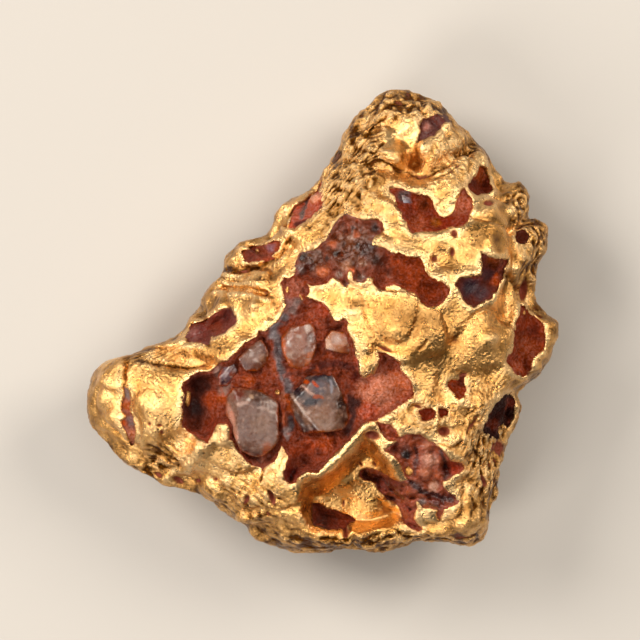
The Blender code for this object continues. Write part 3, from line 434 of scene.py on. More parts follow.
# what fills the pockets: depths and roughness in mm, a base tone, spots of tone (x, y, radius, tone,
# roughness), bands of tone (line, radius, tone, roughness), knobs (x, y, half width, half length, turn,
# height) and the rings; where there are several sinks or lumps, each is for the ring in its place
pockets = {
    "matrix": {
        "sink": [1.5, 1.3, 0.9], "lump": 0.4, "lumps": [0.4, 1.25, 0.1], "slope": 0.8, "dust": 0.6,
        "tone": "#783A2A", "rough": 0.6, "bed": 1.6, "triangles": 90000,
        "spots": [
            # the two darkest spots at the west end are painted shadow under the overhanging gold rim, in
            # the dip there
            (-12.6, -8.6, 1.3, "#2E100C", 0.4), (-12.0, -6.4, 1.2, "#3C160E", 0.5),
            (-11.0, -8.0, 0.9, "#8A3A20", 0.55), (-10.6, -10.6, 1.0, "#7A2F1A", 0.55),
            (-7.2, -6.0, 0.7, "#AE5638", 0.6), (-9.6, -7.6, 0.6, "#A8502E", 0.6),
            (-4.4, -4.6, 0.8, "#A4543A", 0.6), (-3.6, -7.6, 0.7, "#8E5440", 0.6),
            (-3.5, -9.8, 0.6, "#8A4A36", 0.6), (-3.9, -1.4, 0.8, "#96442C", 0.6),
            (-3.2, 1.4, 0.9, "#8A6058", 0.6), (-2.6, 3.2, 0.9, "#9C5A48", 0.6),
            (0.2, 1.2, 0.9, "#9A4A38", 0.6), (-1.0, -0.2, 0.9, "#A0523E", 0.6),
            (5.6, -7.0, 1.9, "#BE7860", 0.8), (7.8, -6.2, 1.2, "#B4684E", 0.8),
            # the dark spot at 3.3, -8.2 is painted shade in the dip beside the lower right grain
            (4.6, -8.9, 1.0, "#A25240", 0.7), (3.3, -8.2, 0.6, "#34120D", 0.5),
            (3.4, -5.6, 0.6, "#4A1A12", 0.6), (3.6, -4.2, 0.6, "#A05040", 0.8),
            (0.5, -12.2, 0.9, "#98482E", 0.6), (-1.2, -12.6, 0.8, "#8A3A20", 0.5),
            (-2.6, -13.0, 0.6, "#86381E", 0.5), (-2.9, -15.2, 0.8, "#5C170C", 0.4),
            (-5.9, -14.0, 0.7, "#8A4A34", 0.35),
            (3.0, 7.4, 2.9, "#52260E", 0.18), (-0.9, 5.8, 1.3, "#4C240E", 0.18),
            (-1.7, 6.4, 0.5, "#241410", 0.2), (-2.0, 5.0, 0.5, "#5E4C48", 0.16),
            (-0.2, 6.6, 0.4, "#644A40", 0.18), (0.2, 4.9, 0.6, "#B86848", 0.45),
            (1.2, 7.6, 0.45, "#A0583E", 0.45), (-1.3, 5.4, 0.7, "#3E1C14", 0.22),
            (2.6, 9.6, 1.3, "#6E3826", 0.3), (3.2, 9.0, 0.4, "#2C1A16", 0.2),
            (5.4, 9.2, 0.6, "#2E1814", 0.18), (2.0, 8.3, 0.35, "#6E4A3C", 0.14),
            (2.9, 8.2, 0.4, "#7A5646", 0.16), (4.4, 8.2, 0.35, "#58382C", 0.14),
            (3.5, 8.6, 0.4, "#A05638", 0.4), (4.6, 7.0, 0.8, "#3A1E16", 0.2),
            (5.6, 6.0, 0.8, "#3A1C12", 0.3), (2.5, 5.5, 0.5, "#8A5C44", 0.16),
            (3.6, 6.2, 0.4, "#6E4A3C", 0.18), (3.9, 4.4, 0.5, "#5C443A", 0.14),
            (3.0, 4.9, 0.4, "#B05C3C", 0.45), (1.8, 4.5, 0.4, "#664A3E", 0.14),
            (2.6, 3.4, 0.4, "#5A3A30", 0.25), (4.2, 5.6, 0.35, "#7A5442", 0.16),
            (6.8, 4.4, 0.35, "#664A40", 0.16), (7.6, 3.8, 0.4, "#3E1E16", 0.25),
            (3.6, 7.4, 0.3, "#2C1812", 0.16), (1.4, 6.6, 0.35, "#2C1812", 0.16),
            (0.6, 6.0, 0.3, "#36201A", 0.16), (6.8, 5.0, 0.7, "#4A1E12", 0.5),
            (9.0, 4.8, 2.0, "#7A321A", 0.62), (11.0, 2.9, 1.3, "#76301A", 0.62),
            (7.0, 3.4, 0.8, "#8A4430", 0.5),
        ],
        "bands": [
            ([(-2.3, 1.9), (-2.8, 0.9)], 0.45, "#6A504A", 0.35),
            ([(-3.6, 0.3), (-4.6, -0.5), (-4.8, -1.6)], 0.45, "#706668", 0.3),
            ([(-4.4, -1.7), (-4.2, -3.2), (-4.1, -4.6)], 0.42, "#62585A", 0.3),
            ([(-3.9, -4.8), (-3.4, -5.8), (-3.1, -7.2)], 0.5, "#564A4C", 0.28),
            ([(-3.3, -7.6), (-3.0, -8.8)], 0.35, "#B85830", 0.5),
            ([(-3.0, -9.6), (-3.1, -10.8)], 0.35, "#3A2A2C", 0.35),
            ([(-3.5, -10.8), (-3.3, -11.6)], 0.3, "#7E6A68", 0.3),
            ([(-10.2, -4.9), (-9.4, -6.2), (-9.8, -6.9)], 0.5, "#7A5C52", 0.35),
            ([(-0.9, -4.6), (1.6, -4.2), (3.2, -4.6)], 0.35, "#4A1A10", 0.5),
            # the dark band from 2.9, -7.6 down to 2.6, -11.2 is painted shade along the east side of the
            # lower right grain
            ([(2.9, -7.6), (3.3, -9.4), (2.6, -11.2)], 0.35, "#3A1610", 0.45),
            ([(-6.7, -13.4), (-5.9, -14.4), (-5.0, -13.6)], 0.3, "#6A3222", 0.35),
        ],
        "knobs": [
            (-12.4, -8.4, 1.9, 3.2, 0, -1.5), (-9.9, -10.4, 1.2, 1.2, 0, -0.4),
            (6.0, -6.8, 2.6, 2.6, 0, 1.2), (-4.5, -4.3, 0.5, 1.5, 20, 0.9),
            (-3.65, -8.2, 0.35, 3.0, 0, 0.7), (-7.3, -5.9, 1.1, 0.45, -10, 0.8),
            (-4.6, -2.1, 0.4, 1.0, -10, 0.7), (-2.7, 2.2, 1.0, 2.0, 0, 1.5), (0.2, 0.7, 1.4, 0.9, -30, 1.3),
            (3.5, -4.4, 0.6, 1.6, 10, 0.9), (0.8, -12.0, 0.35, 1.5, 30, 1.1),
            (1.8, -11.6, 0.3, 1.2, 25, 0.9), (-0.6, -13.2, 0.35, 1.2, 10, 0.5),
            (-1.6, -13.6, 0.9, 1.4, 0, -0.8), (-2.9, -15.4, 0.8, 1.0, 0, -1.0),
            (4.4, -9.2, 0.8, 0.8, 0, 0.6), (3.2, -8.4, 0.45, 1.6, 0, -0.5), (-0.6, -4.9, 1.6, 0.4, 0, 0.6),
            (1.8, 6.2, 0.7, 0.7, 0, 0.5), (3.0, 7.0, 0.6, 0.8, 0, 0.5), (2.0, 8.2, 0.7, 0.6, 0, 0.45),
            (3.2, 9.4, 0.9, 0.5, -20, 0.5), (5.3, 9.4, 0.5, 0.6, 0, 0.6), (4.3, 8.0, 0.6, 0.5, 30, 0.4),
            (1.5, 4.6, 0.5, 0.45, 0, 0.5), (4.0, 4.9, 0.5, 0.8, 0, 0.5), (-1.2, 5.9, 0.8, 0.6, 20, 0.5),
            (-0.1, 6.8, 0.5, 0.5, 0, 0.4), (0.5, 5.1, 0.5, 0.5, 0, 0.35), (4.9, 6.1, 0.5, 0.5, 0, 0.35),
            (7.6, 4.9, 1.7, 1.3, 0, -0.5), (11.0, 2.8, 1.3, 1.1, 0, -0.5), (9.4, 6.1, 1.0, 0.4, 0, -0.4),
        ],
        "rings": [
            [(-2.9, 4.15), (-2.1, 4.0), (-1.6, 4.0), (-1.2, 3.3), (-1.3, 2.6), (-1.6, 2.2), (-0.9, 2.0),
             (-0.1, 1.8), (0.5, 1.4), (0.8, 0.8), (1.2, 0.4), (1.4, -0.1), (1.9, 0), (2.3, 0.2),
             (2.6, -0.2), (2.5, -1.0), (2.9, -1.8), (3.2, -2.4), (3.3, -3.2), (3.6, -3.8), (3.8, -4.4),
             (3.7, -5.0), (4.1, -5.6), (4.7, -5.6), (5.3, -5.2), (5.6, -4.6), (5.8, -3.8), (5.7, -3.2),
             (6.3, -3.2), (7.1, -3.6), (7.7, -4.0), (7.8, -4.8), (8.4, -5.4), (8.8, -6.0), (9.0, -6.8),
             (9.1, -7.4), (8.4, -8.0), (7.7, -8.4), (6.9, -9.0), (6.2, -9.4), (5.7, -9.6), (5.5, -10.0),
             (4.5, -10.0), (3.9, -10.4), (3.3, -11.2), (2.9, -11.8), (2.3, -12.4), (1.6, -13.0),
             (1.0, -13.6), (0.3, -14.4), (-0.2, -15.0), (-0.7, -15.0), (-1.4, -14.8), (-1.9, -15.2),
             (-2.4, -15.6), (-2.5, -16.2), (-3.2, -16.2), (-3.6, -15.8), (-3.6, -15.0), (-3.3, -14.2),
             (-3.2, -13.4), (-3.6, -12.8), (-4.0, -12.4), (-4.3, -13.2), (-4.6, -14.0), (-5.2, -14.2),
             (-5.9, -14.8), (-6.6, -14.4), (-7.3, -14.0), (-7.9, -13.2), (-8.4, -12.6), (-8.6, -12.0),
             (-9.0, -11.6), (-9.1, -11.2), (-9.0, -10.6), (-9.4, -10.2), (-10.1, -10.2), (-10.4, -10.6),
             (-10.7, -11.2), (-11.1, -11.8), (-11.2, -12.2), (-11.8, -11.8), (-12.5, -11.4), (-13.3, -11.0),
             (-13.7, -10.6), (-13.7, -9.8), (-13.6, -9.2), (-13.8, -8.6), (-13.5, -7.4), (-13.8, -6.8),
             (-13.5, -6.2), (-13.1, -5.8), (-12.8, -5.4), (-12.1, -5.2), (-11.4, -5.2), (-10.8, -5.0),
             (-10.5, -4.6), (-9.9, -4.2), (-9.2, -4.0), (-8.5, -3.4), (-7.8, -2.6), (-6.9, -2.0),
             (-6.3, -1.6), (-6.1, -1.0), (-5.5, -1.2), (-5.1, -0.8), (-4.4, -0.2), (-3.8, 0.6), (-3.5, 1.4),
             (-3.6, 2.2), (-3.8, 3.0), (-4.0, 3.8), (-3.7, 4.2)],
            darkPatch,
            [(6.2, 6.6), *darkPatch[24:41], (7.2, 3.9), (6.6, 5.4)],
        ]},
    "vee": {
        "sink": 1.1, "lump": 0.2, "tone": "#7A3424", "rough": 0.6, "bed": 0.9,
        "spots": [(8.2, 12.4, 0.7, "#3A2422", 0.35), (10.2, 11.6, 0.9, "#6A2C14", 0.6),
                  (9.6, 9.6, 1.0, "#9C5038", 0.7), (12.2, 9.7, 0.9, "#7A2C1C", 0.6),
                  (13.8, 11.6, 1.2, "#B86C54", 0.7), (11.4, 9.8, 0.5, "#8A4A20", 0.6)],
        "knobs": [(8.3, 12.2, 0.8, 0.6, 20, 0.3), (10.6, 11.4, 1.0, 0.6, 20, -0.6),
                  (13.9, 11.6, 0.5, 1.2, 0, 0.3)],
        "rings": [
            [(6.7, 13.1), (8.0, 13.1), (8.8, 12.8), (9.7, 12.4), (10.7, 12.2), (11.1, 11.8), (11.2, 11.1),
             (11.6, 10.5), (12.2, 10.1), (12.8, 10.4), (13.2, 11.0), (13.5, 12.2), (13.9, 12.9),
             (14.3, 13.0), (14.7, 12.4), (15.0, 11.8), (15.0, 11.1), (14.7, 10.4), (14.4, 9.7), (13.8, 9.3),
             (12.9, 9.3), (12.3, 9.0), (11.6, 8.8), (10.7, 8.9), (9.1, 8.7), (8.6, 9.3), (8.3, 10.2),
             (8.1, 10.9), (7.6, 11.6), (7.2, 12.3)]]},
    "peak": {
        "sink": 1.0, "lump": 0.1, "tone": "#5E200C", "rough": 0.6, "bed": 0.7,
        "spots": [(15.8, 14.6, 0.8, "#8A3A14", 0.6)],
        "rings": [
            [(15.8, 15.4), (16.3, 15.1), (16.5, 14.5), (16.9, 13.7), (17.2, 13.1), (16.8, 12.7),
             (16.1, 12.5), (15.5, 12.4), (15.1, 12.5), (14.7, 12.9), (14.6, 13.5), (15.0, 14.1),
             (15.5, 14.8)]]},
    "crown": {
        "sink": 0.6, "lump": 0.15, "tone": "#4C1A10", "rough": 0.45, "bed": 0.7,
        "spots": [(10.6, 19.3, 0.45, "#8A5448", 0.25), (11.4, 19.6, 0.6, "#4A1610", 0.3),
                  (10.4, 18.3, 0.5, "#4C2624", 0.22)],
        "knobs": [(10.5, 19.0, 0.5, 0.9, 20, 0.3)],
        "rings": [
            [(11.5, 20.5), (12.0, 20.3), (12.6, 20.2), (12.9, 19.9), (12.3, 19.6), (11.9, 19.1),
             (11.5, 18.6), (11.1, 18.3), (10.7, 18.1), (10.0, 17.8), (9.6, 17.6), (9.7, 18.2), (9.9, 18.8),
             (9.8, 19.3), (10.1, 19.9), (10.7, 20.3)]]},
    "shield": {
        "sink": 1.1, "lump": 0.15, "tone": "#5A2418", "rough": 0.55, "bed": 0.9,
        "spots": [(14.8, 3.2, 1.0, "#2C1A24", 0.35), (15.9, 2.8, 0.8, "#3A1E22", 0.4),
                  (17.3, 4.0, 0.6, "#A0492C", 0.6), (17.0, 5.8, 0.7, "#6E3014", 0.6),
                  (16.4, 4.6, 0.6, "#3C1A1C", 0.5)],
        "knobs": [(15.2, 3.0, 0.9, 0.8, 0, 0.3), (16.9, 5.2, 0.9, 0.7, 0, -0.4)],
        "rings": [
            [(15.9, 6.7), (16.3, 6.5), (16.8, 6.2), (17.6, 6.1), (18.4, 6.1), (18.5, 5.8), (18.1, 5.2),
             (18.0, 4.5), (17.7, 3.8), (17.3, 3.0), (16.9, 2.3), (16.2, 1.9), (15.6, 1.6), (15.0, 1.3),
             (14.5, 1.6), (14.1, 2.1), (13.9, 2.6), (13.7, 3.2), (13.3, 3.6), (13.5, 4.0), (13.9, 4.2),
             (14.9, 4.3), (15.8, 4.4), (15.9, 5.0), (15.9, 5.8)]]},
    "rim_slot": {
        "sink": 1.0, "lump": 0.15, "tone": "#7C3420", "rough": 0.6, "bed": 0.8,
        "spots": [(20.4, -2.6, 1.3, "#8E4630", 0.6), (21.2, -1.0, 0.8, "#6A2818", 0.55),
                  (19.6, -4.6, 0.7, "#9A4E38", 0.6)],
        "rings": [
            [(19.8, 1.6), (20.3, 1.3), (20.7, 0.7), (21.3, 0.4), (21.9, 0.1), (22.2, -0.6), (22.3, -1.5),
             (22.2, -2.5), (21.9, -3.1), (21.3, -3.6), (21.0, -4.3), (20.8, -5.1), (20.2, -5.7),
             (19.9, -5.5), (19.2, -5.2), (18.7, -4.6), (18.4, -4.1), (18.5, -3.7), (18.9, -3.2),
             (19.1, -2.5), (19.2, -1.5), (19.5, -0.8), (19.6, 0.1), (19.8, 0.7)]]},
    "round": {
        "sink": 1.0, "lump": 0.1, "tone": "#4A1E12", "rough": 0.6, "bed": 0.7, "spots": [],
        "rings": [[(20.75, 8.35), (20.5, 8.9), (20.0, 9.1), (19.5, 8.9), (19.25, 8.35), (19.5, 7.8),
                   (20.0, 7.6), (20.5, 7.8)]]},
    "east_hollow": {
        "sink": 1.3, "lump": 0.2, "tone": "#2A0A04", "rough": 0.9, "bed": 0.8,
        "spots": [(17.3, -10.4, 0.6, "#5A2212", 0.6), (18.9, -8.2, 0.5, "#5C2216", 0.6)],
        "rings": [
            [(18.1, -7.6), (18.7, -7.3), (19.2, -7.7), (19.4, -8.1), (19.2, -9.0), (19.2, -9.5),
             (18.9, -10.2), (18.6, -10.9), (18.6, -10.3), (17.8, -10.0), (17.4, -10.9), (17.5, -11.6),
             (16.9, -11.5), (16.3, -10.9), (16.4, -10.1), (16.7, -9.1), (17.2, -8.3)]]},
    "heart": {
        "sink": 0.9, "lump": 0.1, "tone": "#74301C", "rough": 0.6, "bed": 0.7,
        "spots": [(14.0, -6.0, 0.5, "#4A1A0E", 0.6)],
        "rings": [
            [(12.6, -6.2), (12.9, -5.9), (13.5, -6.0), (13.9, -5.8), (14.3, -5.7), (14.2, -6.3),
             (14.3, -7.0), (14.2, -7.5), (13.7, -7.9), (13.4, -7.8), (13.3, -7.3), (12.9, -6.9),
             (12.6, -6.6)]]},
    "twin": {
        "sink": 0.8, "lump": 0.1, "tone": "#6A2616", "rough": 0.6, "bed": 0.7, "spots": [],
        "rings": [
            [(9.6, -9.0), (10.1, -8.8), (10.9, -8.7), (11.3, -9.0), (11.2, -9.7), (10.7, -9.9),
             (9.9, -9.9)],
            [(11.5, -8.7), (12.0, -8.7), (12.7, -8.9), (12.4, -9.3), (12.0, -9.7), (11.6, -9.5)]]},
    "lower_patch": {
        # its lows get a dark tone: painted shade in the gaps between its lumps
        "sink": 0.9, "lump": 0.6, "lumps": 1.6, "slope": 0.5, "dust": 0.9, "dustTone": "#3A1009",
        "tone": "#823E28", "rough": 0.36, "bed": 1.0, "triangles": 60000,
        "spots": [(8.4, -13.0, 0.7, "#5A2A1E", 0.4), (8.3, -13.3, 0.5, "#1E1616", 0.14),
                  (10.6, -12.4, 0.6, "#A8664E", 0.28), (10.8, -13.8, 0.7, "#A4705C", 0.22),
                  (10.4, -15.0, 0.6, "#A4644C", 0.26), (11.4, -15.3, 0.5, "#A65A40", 0.36),
                  (9.5, -16.4, 0.6, "#4A2C26", 0.16), (10.0, -18.0, 0.45, "#5A4844", 0.14),
                  (12.6, -14.8, 0.7, "#4C180E", 0.4), (7.3, -12.6, 0.6, "#5A2214", 0.45),
                  (11.2, -16.5, 0.55, "#A07058", 0.16), (11.6, -17.8, 1.0, "#50221A", 0.18),
                  (9.4, -14.2, 0.4, "#4A201A", 0.3), (13.2, -14.6, 0.7, "#8E3420", 0.5),
                  (12.9, -17.6, 0.5, "#4C1A12", 0.5), (7.4, -16.0, 0.9, "#5C2218", 0.4),
                  (6.2, -16.6, 0.8, "#7A3426", 0.4), (5.0, -15.4, 0.7, "#6E3016", 0.6),
                  (8.6, -18.6, 0.7, "#8A4436", 0.5), (9.0, -20.2, 0.6, "#9A4A3A", 0.5),
                  (7.2, -11.2, 0.7, "#8E4636", 0.6), (5.9, -10.5, 0.5, "#6A2C1E", 0.6)],
        # dark bands along its crevices: painted shade
        "bands": [([(9.0, -16.0), (9.8, -16.9), (11.2, -17.2), (12.9, -17.9)], 0.26, "#340F0A", 0.24),
                  ([(11.9, -12.9), (12.4, -14.2), (12.3, -15.6)], 0.22, "#3C120A", 0.3),
                  ([(9.4, -12.6), (9.5, -13.9), (9.2, -15.2)], 0.2, "#4A1A10", 0.3),
                  ([(5.2, -15.3), (6.8, -16.4), (8.2, -17.8)], 0.2, "#4A160C", 0.3)],
        "knobs": [(10.3, -13.4, 0.6, 1.0, 20, 0.5), (10.2, -15.0, 0.6, 0.8, 0, 0.5),
                  (10.5, -16.3, 0.6, 0.4, -20, 0.35), (11.8, -16.8, 0.5, 0.35, 25, 0.35),
                  (10.9, -17.9, 0.8, 0.35, -8, 0.3), (8.3, -13.3, 0.45, 0.4, 0, 0.35),
                  (8.8, -12.4, 0.6, 0.5, 0, 0.3), (12.6, -14.6, 0.9, 0.5, 20, -0.4),
                  (12.9, -17.6, 0.6, 0.5, 0, -0.5), (6.6, -16.6, 1.6, 0.6, -35, -0.3),
                  (9.4, -16.6, 0.5, 1.1, 0, 0.3)],
        "rings": [
            [(5.5, -10.05), (6.7, -10.2), (7.4, -10.8), (7.9, -11.5), (8.9, -11.2), (9.9, -11.2),
             (10.5, -11.9), (11.3, -12.2), (11.9, -12.7), (12.4, -13.4), (13.1, -13.9), (14.0, -14.2),
             (14.3, -14.6), (13.8, -15.1), (13.1, -15.4), (12.5, -15.7), (12.0, -15.9), (12.2, -16.5),
             (12.6, -17.1), (13.3, -17.5), (13.8, -18.0), (13.4, -18.3), (12.8, -18.6), (12.2, -18.7),
             (11.8, -19.9), (11.5, -19.4), (11.6, -18.8), (10.9, -18.6), (10.1, -18.6), (9.5, -17.9),
             (9.4, -19.0), (9.2, -19.7), (9.6, -20.2), (10.1, -20.7), (9.7, -21.0), (8.9, -20.6),
             (8.2, -20.2), (8.1, -19.3), (7.8, -18.6), (7.1, -17.9), (6.5, -17.8), (5.9, -17.0),
             (5.3, -16.2), (4.4, -15.8), (3.8, -15.5), (3.9, -15.0), (4.5, -14.6), (5.5, -14.8),
             (6.7, -15.4), (7.9, -16.0), (8.6, -15.8), (8.2, -15.0), (7.7, -14.0), (7.1, -13.2),
             (6.3, -12.8), (6.9, -12.3), (7.5, -12.0), (6.7, -11.8), (6.2, -11.4), (5.7, -10.7)]]},
    "trough_hole": {
        "sink": 0.8, "lump": 0.1, "tone": "#5A2212", "rough": 0.55, "bed": 0.7,
        "spots": [(0, -20.2, 0.8, "#3C1409", 0.5), (2.4, -19.8, 0.8, "#702A14", 0.55)],
        "rings": [
            [(-0.8, -18.2), (-0.1, -18.2), (0.5, -18.7), (1.3, -18.9), (2.1, -19.2), (2.9, -19.4),
             (3.5, -19.9), (2.9, -20.2), (2.4, -20.4), (2.2, -20.7), (1.5, -20.7), (0.7, -20.8), (0, -20.6),
             (-0.8, -20.5), (-0.9, -19.5), (-0.9, -18.8)]]},
    "left": {
        "sink": 0.9, "lump": 0.2, "tone": "#5E1E10", "rough": 0.45, "bed": 0.8,
        "spots": [(-12.5, -1.4, 0.6, "#6A3630", 0.16), (-12.0, -0.6, 0.5, "#5A1C18", 0.25),
                  (-10.4, -0.8, 0.7, "#6E2810", 0.5), (-9.0, 0.6, 0.7, "#4C140A", 0.45)],
        "knobs": [(-12.4, -1.2, 0.6, 0.6, 0, 0.5), (-10.2, -0.4, 1.4, 0.6, 20, -0.4)],
        "rings": [
            [(-13.2, -1.0), (-12.9, -0.4), (-12.0, -0.2), (-11.3, 0.1), (-10.7, 0.6), (-10.1, 1.0),
             (-9.3, 1.2), (-8.7, 0.8), (-8.4, 0.1), (-8.5, -0.5), (-9.2, -0.8), (-9.5, -1.3), (-10.1, -1.6),
             (-10.9, -1.7), (-11.1, -2.5), (-11.9, -2.3), (-12.6, -2.1), (-13.2, -2.2), (-13.4, -1.6)]]},
    "lens": {
        "sink": 0.7, "lump": 0.1, "tone": "#7A3018", "rough": 0.5, "bed": 0.6,
        "spots": [(-5.0, 7.2, 0.5, "#6A4048", 0.22), (-7.0, 6.5, 0.7, "#5C1E0C", 0.5)],
        "knobs": [(-5.0, 7.2, 0.5, 0.5, 0, 0.6)],
        "rings": [
            [(-7.8, 6.4), (-7.9, 6.8), (-7.3, 7.1), (-6.7, 7.3), (-5.9, 7.5), (-5.1, 7.7), (-4.4, 7.9),
             (-4.0, 7.9), (-4.0, 7.4), (-4.3, 6.8), (-4.9, 6.3), (-5.7, 6.0), (-6.5, 5.8), (-7.2, 5.8),
             (-7.7, 6.0)]]},
    "shoulder": {
        "sink": 0.3, "lump": 0.2, "tone": "#A45442", "rough": 0.6, "bed": 0.7,
        "spots": [(-0.6, 12.2, 0.5, "#C88668", 0.5)],
        "bands": [([(-2.4, 9.5), (-1.0, 10.0), (0.2, 10.9)], 0.35, "#4A1810", 0.5),
                  ([(-1.6, 12.0), (-1.6, 11.2), (-2.1, 10.3)], 0.22, "#5A4440", 0.3)],
        "knobs": [(-0.9, 10.0, 1.0, 0.25, 25, -0.4), (-1.6, 11.0, 0.2, 0.8, -10, -0.3)],
        "rings": [
            [(0.2, 14.9), (-0.4, 13.0), (-1.5, 11.9), (-2.4, 11.4), (-2.9, 10.9), (-3.1, 10.0), (-3.3, 9.2),
             (-2.6, 9.1), (-1.8, 9.6), (-1.1, 10.0), (-0.5, 10.7), (0.3, 11.1), (0, 11.8), (-0.1, 12.4)]]},
    "nose_crack": {
        "sink": 0.5, "lump": 0.15, "tone": "#7A4636", "rough": 0.4, "bed": 0.7,
        "spots": [(-19.2, -7.2, 0.5, "#66544E", 0.3), (-19.4, -8.4, 0.5, "#964C2C", 0.5),
                  (-18.8, -9.9, 0.5, "#4C4242", 0.3), (-19.5, -10.2, 0.4, "#9E4C30", 0.6),
                  (-18.8, -11.7, 0.7, "#C4785A", 0.6)],
        "rings": [
            [(-19.5, -6.7), (-19.0, -6.8), (-18.9, -7.7), (-19.0, -8.5), (-18.8, -9.4), (-18.5, -10.3),
             (-18.4, -11.2), (-18.5, -12.0), (-18.8, -12.5), (-19.0, -12.1), (-19.3, -11.3),
             (-19.7, -10.6), (-19.9, -10.0), (-19.5, -9.7), (-19.4, -9.3), (-19.8, -8.9), (-19.8, -8.2),
             (-19.5, -7.6)]]},
    "flank_south": {"frame": flankFrame(-118, -8, 5.6), "rings": [blot(3.0, 1.7, 3)], "sink": 0.8},
    "flank_east": {"frame": flankFrame(24, -14, 5.0), "rings": [blot(2.6, 1.5, 5)], "sink": 0.8},
    "flank_north_west": {"frame": flankFrame(128, -12, 5.0), "rings": [blot(3.6, 1.6, 8)], "sink": 0.8},
    "underside_large": {
        "frame": (np.array([-3.0, -6.0, goldSkin["waist"]]), below),
        "rings": [blot(4.4, 3.0, 11)], "sink": 1.0},
    "underside_small": {
        "frame": (np.array([9.5, 6.5, goldSkin["waist"]]), below),
        "rings": [blot(2.8, 3.6, 14)], "sink": 0.9},
}
# what a filling has where its own row says nothing
plainFilling = {
    "frame": upright, "lump": 0.25, "tone": "#7A3A2A", "rough": 0.6, "bed": 0.8, "triangles": 16000,
    "lumps": 0.1, "rimSink": 0.25, "slope": 1.0, "dust": 0.4, "dustTone": "#94442C",
    "spots": [(1.0, 0.4, 0.9, "#4A2420", 0.35), (-1.2, -0.3, 1.0, "#96503E", 0.6)], "knobs": [],
}
pockets = {name: {**plainFilling, **values} for name, values in pockets.items()}

# how every filling is made, in mm: its rim drifts, its top is rough and lumpy and its back lies deeper;
# layers of noise and of domes are height, cell size and seed
fillingShape = {
    "rimDrift": [(0.12, 0.8, 51), (0.08, 0.35, 55)], "toneDrift": [(0.25, 1.1, 61), (0.12, 0.4, 63)],
    "rough": [(1, 1.5, 21), (0.55, 0.75, 22), (0.3, 0.4, 23)], "domes": [(0.65, 1.1, 24), (0.35, 0.55, 25)],
    "domeMiddle": 0.45, "reach": 1.2, "shallowest": 0.05, "leastFloor": 0.5, "overlap": 0.28, "back": 0.35,
}


# values of one pocket at every skin point: depth inside its rings, and how far its filling lies below the
# skin; near the rim it rises towards the lip, and inside it is rough with noise, round lumps and knobs
def pocketFields(values):
    f = fillingShape
    origin, axes = values["frame"]
    local = (skin - origin) @ axes.T
    flat = local[:, :2]
    warped = flat + drifted(0, skin, f["rimDrift"])
    depths = [np.where(local[:, 2] > -2, nearDepth(warped, ring), -9.0) for ring in values["rings"]]
    depth = np.max(depths, axis=0)
    if values["frame"] is upright:
        depth = np.minimum(depth, 9 * (lift - 0.03))
    near = depth > -f["reach"]
    sinks = values["sink"] if isinstance(values["sink"], list) else [values["sink"]] * len(depths)
    lumps = values["lumps"] if isinstance(values["lumps"], list) else [values["lumps"]] * len(depths)
    sink = np.full(len(skin), float(sinks[0]))
    lumpy = np.full(len(skin), float(lumps[0]))
    for ringSink, ringLump, ringDepth in zip(sinks[1:], lumps[1:], depths[1:]):
        share = softStep(-0.7, 0.5, ringDepth)
        sink += (ringSink - sink) * share
        lumpy += (ringLump - lumpy) * share
    spots = skin[near]
    rough = layers(spots, f["rough"])
    domes = np.zeros(len(skin))
    domes[near] = sum(height * bubbles(spots, cell, seed) for height, cell, seed in f["domes"])
    domes[near] -= f["domeMiddle"]
    sink[near] += values["lump"] * rough - lumpy[near] * domes[near] - hills(flat[near], values["knobs"])
    rimSink = values["rimSink"]
    sink = rimSink + (np.maximum(sink, f["shallowest"]) - rimSink) * softStep(0.0, values["slope"], depth)
    return {"flat": flat, "depth": depth, "sink": sink, "axis": axes[2], "domes": domes,
            "floor": np.maximum(min(sinks) + values["bed"], sink + f["leastFloor"])}


# tone and roughness at places: a base tone with spots and bands mixed in, each by e to the minus fourth
# power of the distance in radii; a spot is a band along a very short line
def tones(places, points, values):
    tone = np.tile(hexColour(values["tone"]), (len(places), 1))
    rough = np.full(len(places), values["rough"])
    moved = drifted(places, points, fillingShape["toneDrift"])
    bands = [([(x, y), (x + 0.01, y)], *look) for x, y, *look in values["spots"]] + values.get("bands", [])
    for line, radius, colour, polish in bands:
        share = np.exp(-(lineDistance(moved, line) / radius) ** 4)[:, None]
        tone += (hexColour(colour) - tone) * share
        rough += (polish - rough) * share[:, 0]
    return tone, rough


# the filling of a pocket: the skin over its rings, sunk and roughened, with sides and a back
def filling(name, values, fields):
    keep = fields["depth"] > -fillingShape["overlap"]
    quads = skinQuads[keep[skinQuads].all(axis=1)]
    fans = skinFans[keep[skinFans].all(axis=1)]
    used = np.unique(np.concatenate([quads.ravel(), fans.ravel()]))
    place = np.full(len(skin), -1)
    place[used] = np.arange(len(used))
    quads, fans = place[quads], place[fans]
    count = len(used)
    top = skin[used] - fields["axis"] * fields["sink"][used][:, None]
    back = skin[used] - fields["axis"] * (fields["floor"][used] + fillingShape["back"])[:, None]
    # the open edges of the top are those whose other way round no face has; the sides join them to the back
    edges = np.concatenate([np.stack([face[:, i], face[:, (i + 1) % face.shape[1]]], axis=1)
                            for face in (quads, fans) for i in range(face.shape[1])])
    lone = ~np.isin(edges[:, 0] * count + edges[:, 1], edges[:, 1] * count + edges[:, 0])
    a, b = edges[lone].T
    sides = np.stack([b, a, a + count, b + count], axis=1)
    tone, rough = tones(fields["flat"][used], skin[used], values)
    # the lows between the domes take a tone: red dust in most fillings, and in the lower patch a dark tone
    # that is painted shade in the gaps
    dust = values["dust"] * softStep(0.15, -0.3, fields["domes"][used])[:, None]
    tone += (hexColour(values["dustTone"]) - tone) * dust
    allQuads = np.concatenate([quads, quads[:, ::-1] + count, sides])
    allFans = np.concatenate([fans, fans[:, ::-1] + count])
    piece = meshPiece(name, np.concatenate([top, back]), allQuads, allFans,
                      {"tone": np.concatenate([tone, tone]), "polish": np.concatenate([rough, rough])})
    return thinned(piece, values["triangles"] // coarse)



